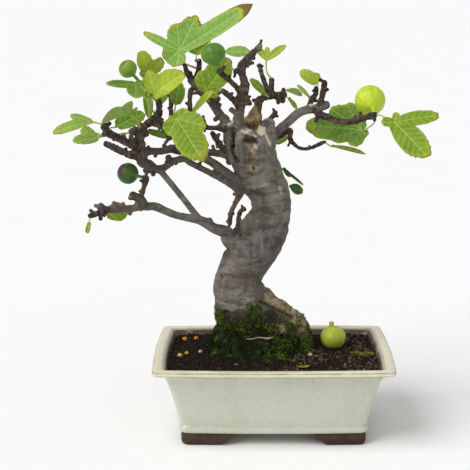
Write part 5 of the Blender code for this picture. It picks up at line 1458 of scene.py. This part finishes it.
def fig_body(name, middle, axis, radius, height, stalk_end, stalk_radius, material, profile, flatten=None):
    """A ribbed fig from its eye to the end of its stalk."""
    segments, ribs = 96, 12
    axis = Vector(axis).normalized()
    side = axis.orthogonal().normalized()
    deep = axis.cross(side)
    neck = profile[-1][1]
    low = -max(0.1 - neck, stalk_end / (radius * height))
    rows = list(profile) + [(stalk_radius / radius * 1.3, neck - 0.05), (stalk_radius / radius, neck - 0.09)]
    rows = np.array(rows + [(stalk_radius / radius * 0.95, (low + neck) / 2), (stalk_radius / radius * 1.2, low)])
    fine = []
    for a, b in zip(rows, rows[1:]):
        fine += [a, (a + b) / 2]
    fine.append(rows[-1])
    rings, rib_mark, eye_mark, blush_mark = [], [], [], []
    for r, h in fine:
        ring = []
        for t in np.linspace(0, 2 * math.pi, segments + 1)[:-1]:
            rib = abs(math.sin(ribs * t / 2 + 0.4 * noise.noise(Vector((math.cos(t) * 2, math.sin(t) * 2, radius)))))
            wide = max(r, 0.01) * radius * (1 + 0.022 * rib * min(1.0, 4 * max(0.0, 1 - abs(h))))
            centre = Vector(middle) + axis * h * radius * height
            point = centre + side * wide * math.cos(t) + deep * wide * math.sin(t)
            if flatten is not None and point.z < flatten:
                point.z = flatten + 0.15 * (point.z - flatten)
            ring.append(tuple(point))
            rib_mark.append(rib)
            eye_mark.append(max(0.0, h))
            blush_mark.append(max(0.0, (point - Vector(middle)).normalized().dot(BLUSH_SIDE)))
        rings.append(ring)
    fig = add_mesh(name, *loft(rings), [material])
    paint(fig, "rib", rib_mark)
    paint(fig, "eye", eye_mark)
    paint(fig, "blush", blush_mark)
    return fig


def make_figs():
    greens = {
        "fig_top": fig_material("fig_skin_mid", (0.095, 0.225, 0.014), (0.040, 0.110, 0.008)),
        "fig_left": fig_material("fig_skin_fresh", (0.19, 0.32, 0.024), (0.065, 0.155, 0.010)),
        "fig_low_left": fig_material("fig_skin_shaded", (0.050, 0.120, 0.012), (0.018, 0.050, 0.007), 0.9),
        "fig_right": fig_material("fig_skin_ripe", (0.50, 0.62, 0.022), (0.36, 0.50, 0.016)),
        "fig_loose": fig_material("fig_skin_loose", (0.42, 0.50, 0.045), (0.22, 0.30, 0.022)),
    }
    for name, (start, middle, radius, height) in FIGS.items():
        start, middle = Vector(deepened(start)), Vector(deepened(middle))
        axis = middle - start
        fig = fig_body(f"ripening_{name}", middle, axis, radius, height, axis.length - 1.5, 2.0, greens[name],
                       FIG_PROFILE)
        finish(fig, "fig", name)
    (x, y), radius = LOOSE_FIG
    low = soil_height(x, y) + 1.6
    fig = fig_body("lying_fig", (x, y, low + radius * 0.84), (0.12, 0.12, -1), radius, 0.9, radius * 1.28, 3.0,
                   greens["fig_loose"], ROUND_PROFILE, flatten=low + 0.8)
    finish(fig, "fig", "fig_loose")


# ---- Everything together ----

def make_ground_cover(trunk, soil):
    """Crumbs, root hairs and moss over the soil and the foot of the tree."""
    dark_crumb = crumb_material("soil_crumbs", (0.026, 0.016, 0.010), (0.005, 0.0036, 0.0025))
    bark_crumb = crumb_material("bark_crumbs", (0.34, 0.23, 0.12), (0.060, 0.034, 0.018))
    moss_green = crumb_material("moss_leaves", (0.27, 0.43, 0.020), (0.055, 0.125, 0.008), 120.0)
    moss_dark = crumb_material("moss_shade", (0.026, 0.036, 0.007), (0.006, 0.008, 0.002), 120.0)
    moss_old = crumb_material("moss_yellow", (0.50, 0.40, 0.07), (0.17, 0.13, 0.02), 160.0)
    points = positions(soil)
    normals = point_normals(soil)
    (bed_x, bed_y), (reach_x, reach_y) = MOSS_BEDS["moss_mound"][:2]
    bare = np.hypot((points[:, 0] - bed_x) / reach_x, (points[:, 1] - bed_y) / reach_y) > 0.95
    cover = (points[:, 2] > 88) * (normals[:, 2] > 0.2) * (bare + 0.04)
    paint(soil, "cover", cover.astype(float))
    paint(soil, "litter", cover * smooth_step(-0.1, 0.5, wobble(points, 22.0, 4.0) + 0.004 * points[:, 0]))
    crumb = icosphere("crumb", 1.5, 0.75, dark_crumb, 1.0, 1, 0.6)
    chip = icosphere("chip", 1.7, 0.4, bark_crumb, 5.0, 1, 0.7)
    hair = sprig("hair", bark_crumb, 2, 7.0, 0.28, 1.45, 4)
    finish(scatter("soil_crumbs", soil, crumb, dark_crumb, 130000.0, 0.4, 1.5, 1.2, 1), "soil")
    finish(scatter("soil_clods", soil, crumb, dark_crumb, 16000.0, 1.4, 2.6, 1.2, 21), "soil")
    finish(scatter("bark_chips", soil, chip, bark_crumb, 52000.0, 0.4, 2.1, 0.9, 2, "litter"), "soil")
    finish(scatter("root_hairs", soil, hair, bark_crumb, 22000.0, 0.5, 1.9, 1.4, 3, "litter"), "soil")
    tuft = sprig("tuft", moss_green, 6, 3.4, 0.42, 0.9, 6)
    beds = {}
    for name, row in MOSS_BEDS.items():
        bed = make_moss_bed(f"{name}_cushion", *row, moss_dark)
        spots = positions(bed)
        patchy = smooth_step(-0.25, 0.25, wobble(spots, 11.0, 7.0) + 0.15)
        paint(bed, "cover", patchy)
        lush = np.clip((spots[:, 0] + 25) / 35, 0, 1)
        paint(bed, "bright", smooth_step(0.1, 0.4, wobble(spots, 8.0, 3.0) + 0.60 * lush - 0.26))
        finish(bed, "moss", name)
        beds[name] = bed
    mound = beds["moss_mound"]
    finish(scatter("moss_tufts_dark", mound, tuft, moss_dark, 340000.0, 0.5, 1.1, 0.5, 11), "moss")
    finish(scatter("moss_tufts_bright", mound, tuft, moss_green, 330000.0, 0.5, 1.1, 0.5, 12, "bright"), "moss")
    finish(scatter("moss_tufts_right", beds["moss_right"], tuft, moss_old, 1500000.0, 0.5, 1.0, 0.5, 13), "moss")
    skin = positions(trunk)
    normals = point_normals(trunk)
    patch = smooth_step(0.0, 0.3, wobble(skin, 10.0, 5.0) + 0.12)
    cover = patch * (1 - smooth_step(128, 156, skin[:, 2] + 8 * wobble(skin, 16.0, 1.0))) * (skin[:, 2] > 96)
    for middle, radius in MOSS_SPOTS:
        away = np.linalg.norm(skin - np.array(middle), axis=1) * (1 + 0.5 * wobble(skin, 6.0, 3.0))
        cover = np.maximum(cover, 1 - smooth_step(0.7 * radius, radius, away))
    paint(trunk, "cover", cover)
    finish(scatter("moss_on_bark", trunk, tuft, moss_green, 300000.0, 0.4, 0.9, 0.5, 14), "moss")
    finish(scatter("moss_on_bark_dark", trunk, tuft, moss_dark, 300000.0, 0.4, 0.9, 0.5, 15), "moss")
    drop(crumb, chip, hair, tuft)
    return bark_crumb, moss_green


PELLET_COLOURS = {
    "pellet_back_left": "orange", "pellet_back": "orange", "pellet_left": "yellow",
    "pellet_left_small": "yellow", "pellet_pale": "pale", "pellet_right": "pale",
}


def make_pellets():
    looks = {
        "orange": crumb_material("pellet_orange", (0.80, 0.36, 0.03), (0.50, 0.16, 0.012)),
        "yellow": crumb_material("pellet_yellow", (0.72, 0.52, 0.06), (0.40, 0.26, 0.03)),
        "pale": crumb_material("pellet_pale", (0.66, 0.58, 0.40), (0.40, 0.33, 0.20)),
    }
    for seed, name in enumerate(PELLETS):
        low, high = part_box(name)
        pellet = icosphere(f"crumbly_{name}", 1.0, 1.0, looks[PELLET_COLOURS[name]], seed, 3, 0.35)
        middle = [(a + b) / 2 for a, b in zip(low, high)]
        half = [(b - a) / 2 for a, b in zip(low, high)]
        for vert in pellet.data.vertices:
            vert.co = Vector(middle) + Vector(c / MM * h * 0.8 for c, h in zip(vert.co, half)) - Vector((0, 0, 0.0008))
        finish(pellet, "pellet", name)


def make_fallen_leaf(material):
    low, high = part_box("fallen_leaf")
    middle = (np.array(low) + np.array(high)) / 2
    middle = (middle - ORIGIN) / MM
    outline = [(9, 0), (7, 2.4), (5, 4), (2, 4.2), (0, 5), (-4, 4.8), (-6, 4), (-8.6, 2.4), (-9, 1), (-7, -1.6),
               (-4, -3), (0, -3), (3, -4), (7, -2.4)]
    rings = []
    for share, drop_z in ((1.0, -0.25), (1.0, 0.25), (0.6, 0.6), (0.2, 0.7)):
        rings.append([(middle[0] + x * share * 0.95 - y * share * 0.3, middle[1] + y * share * 0.9 + x * share * 0.3,
                       middle[2] + drop_z + 0.02 * (x * share) ** 2) for x, y in outline])
    scrap = add_mesh("scrap_of_leaf", *loft(rings), [material])
    paint(scrap, "vein_along", [0.0] * len(scrap.data.vertices))
    paint(scrap, "vein_across", [3.0] * len(scrap.data.vertices))
    paint(scrap, "margin", [0.5] * len(scrap.data.vertices))
    scrap.data.uv_layers.new(name="UVMap")
    finish(scrap, "leaf", "fallen_leaf")


def make_surface_root(bark):
    """A thin root lying bare over the moss in front of the trunk."""
    rows = [(-34, -23, 0.5), (-28, -24, 0.9), (-18, -23.5, 0.8), (-8, -23, 1.5), (0, -21, 0.9)]
    path = smooth_path([(x, y, soil_height(x, y) + 4.2, r) for x, y, r in rows], 1.5)
    root = add_mesh("surface_root", *loft(tube_rings(path, 10)), [bark])
    for kind, value in (("twig", 0.0), ("ring", 0.0), ("wood", 0.0), ("pale", 0.15), ("hollow", 0.0),
                        ("earth", 0.0), ("root", 0.9)):
        paint(root, kind, [value] * len(root.data.vertices))
    finish(root, "bark")


def make_nets():
    """Square plastic netting lying over each drain hole."""
    netting = netting_material()
    for name in ("drain_net_left", "drain_net_right"):
        low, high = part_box(name)
        strands = 15
        bm = bmesh.new()
        grid = [[bm.verts.new((low[0] + (high[0] - low[0]) * i / strands,
                               low[1] + (high[1] - low[1]) * j / strands, low[2]))
                 for j in range(strands + 1)] for i in range(strands + 1)]
        for i in range(strands):
            for j in range(strands):
                if not (i % 2 and j % 2):
                    bm.faces.new((grid[i][j], grid[i + 1][j], grid[i + 1][j + 1], grid[i][j + 1]))
        raised = bmesh.ops.extrude_face_region(bm, geom=list(bm.faces))["geom"]
        lifted = [item for item in raised if isinstance(item, bmesh.types.BMVert)]
        bmesh.ops.translate(bm, vec=(0, 0, high[2] - low[2]), verts=lifted)
        bmesh.ops.recalc_face_normals(bm, faces=bm.faces)
        mesh = bpy.data.meshes.new(f"{name}_grid")
        bm.to_mesh(mesh)
        bm.free()
        mesh.materials.append(netting)
        net = bpy.data.objects.new(f"{name}_grid", mesh)
        bpy.context.scene.collection.objects.link(net)
        finish(net, "netting", name)


def make_studio():
    """A pale floor and soft light; the camera in front, a little above the pot, is made by make_camera."""
    paper, s, shader = new_material("pale_floor", 0.9, 0.1)
    soft = s.group(MOTTLE, Light=(0.93, 0.93, 0.93), Dark=(0.915, 0.915, 0.915), Patches=3.0, Flecks=40.0,
                   Balance=0.5)
    s.feed(shader.inputs["Base Color"], soft.outputs[0])
    bpy.ops.mesh.primitive_plane_add(size=90.0, location=(0, 0, POT_LOW[2] - 0.0002))
    floor = bpy.context.object
    floor.name = "studio_floor"
    floor.data.materials.append(paper)
    sky = bpy.data.worlds.new("studio_sky")
    sky.use_nodes = True
    sky.node_tree.nodes["Background"].inputs[0].default_value = (1.0, 1.0, 1.0, 1.0)
    sky.node_tree.nodes["Background"].inputs[1].default_value = 0.52
    bpy.context.scene.world = sky
    bpy.context.scene.view_settings.view_transform = "Standard"
    for name, place, spread, power in (("key", (-2.2, -1.5, 2.5), 45, 2.3), ("fill", (1.6, -1.8, 1.2), 70, 0.25)):
        lamp = bpy.data.lights.new(name, "SUN")
        lamp.angle = math.radians(spread)
        lamp.energy = power
        obj = bpy.data.objects.new(name, lamp)
        obj.rotation_euler = (-Vector(place)).to_track_quat("-Z", "Y").to_euler()
        bpy.context.scene.collection.objects.link(obj)


CAMERA_PLACE = (-25.15, -1671.0, 577.0)
CAMERA_DOWN, CAMERA_YAW, CAMERA_ROLL = 10.98, -0.80, -0.27
LENS = 101.5


def make_camera():
    camera = bpy.data.cameras.new("camera")
    camera.lens = LENS
    camera.sensor_width = 36.0
    obj = bpy.data.objects.new("camera", camera)
    turn = (Matrix.Rotation(math.radians(-CAMERA_YAW), 4, "Z")
            @ Matrix.Rotation(math.radians(90 - CAMERA_DOWN), 4, "X")
            @ Matrix.Rotation(math.radians(CAMERA_ROLL), 4, "Z"))
    obj.matrix_world = Matrix.Translation(Vector(world(CAMERA_PLACE))) @ turn
    bpy.context.scene.collection.objects.link(obj)
    bpy.context.scene.camera = obj


make_camera()
make_studio()
BARK = bark_material()
make_pot(glaze_material(), clay_material())
make_nets()
SOIL = make_soil(crumb_material("soil_earth", (0.050, 0.027, 0.017), (0.010, 0.006, 0.004)))
TRUNK, CROWN = make_tree(BARK)
make_ground_cover(TRUNK, SOIL)
make_surface_root(BARK)
make_leaves()
make_figs()
make_pellets()
make_fallen_leaf(bpy.data.materials["leaf_top_fresh"])
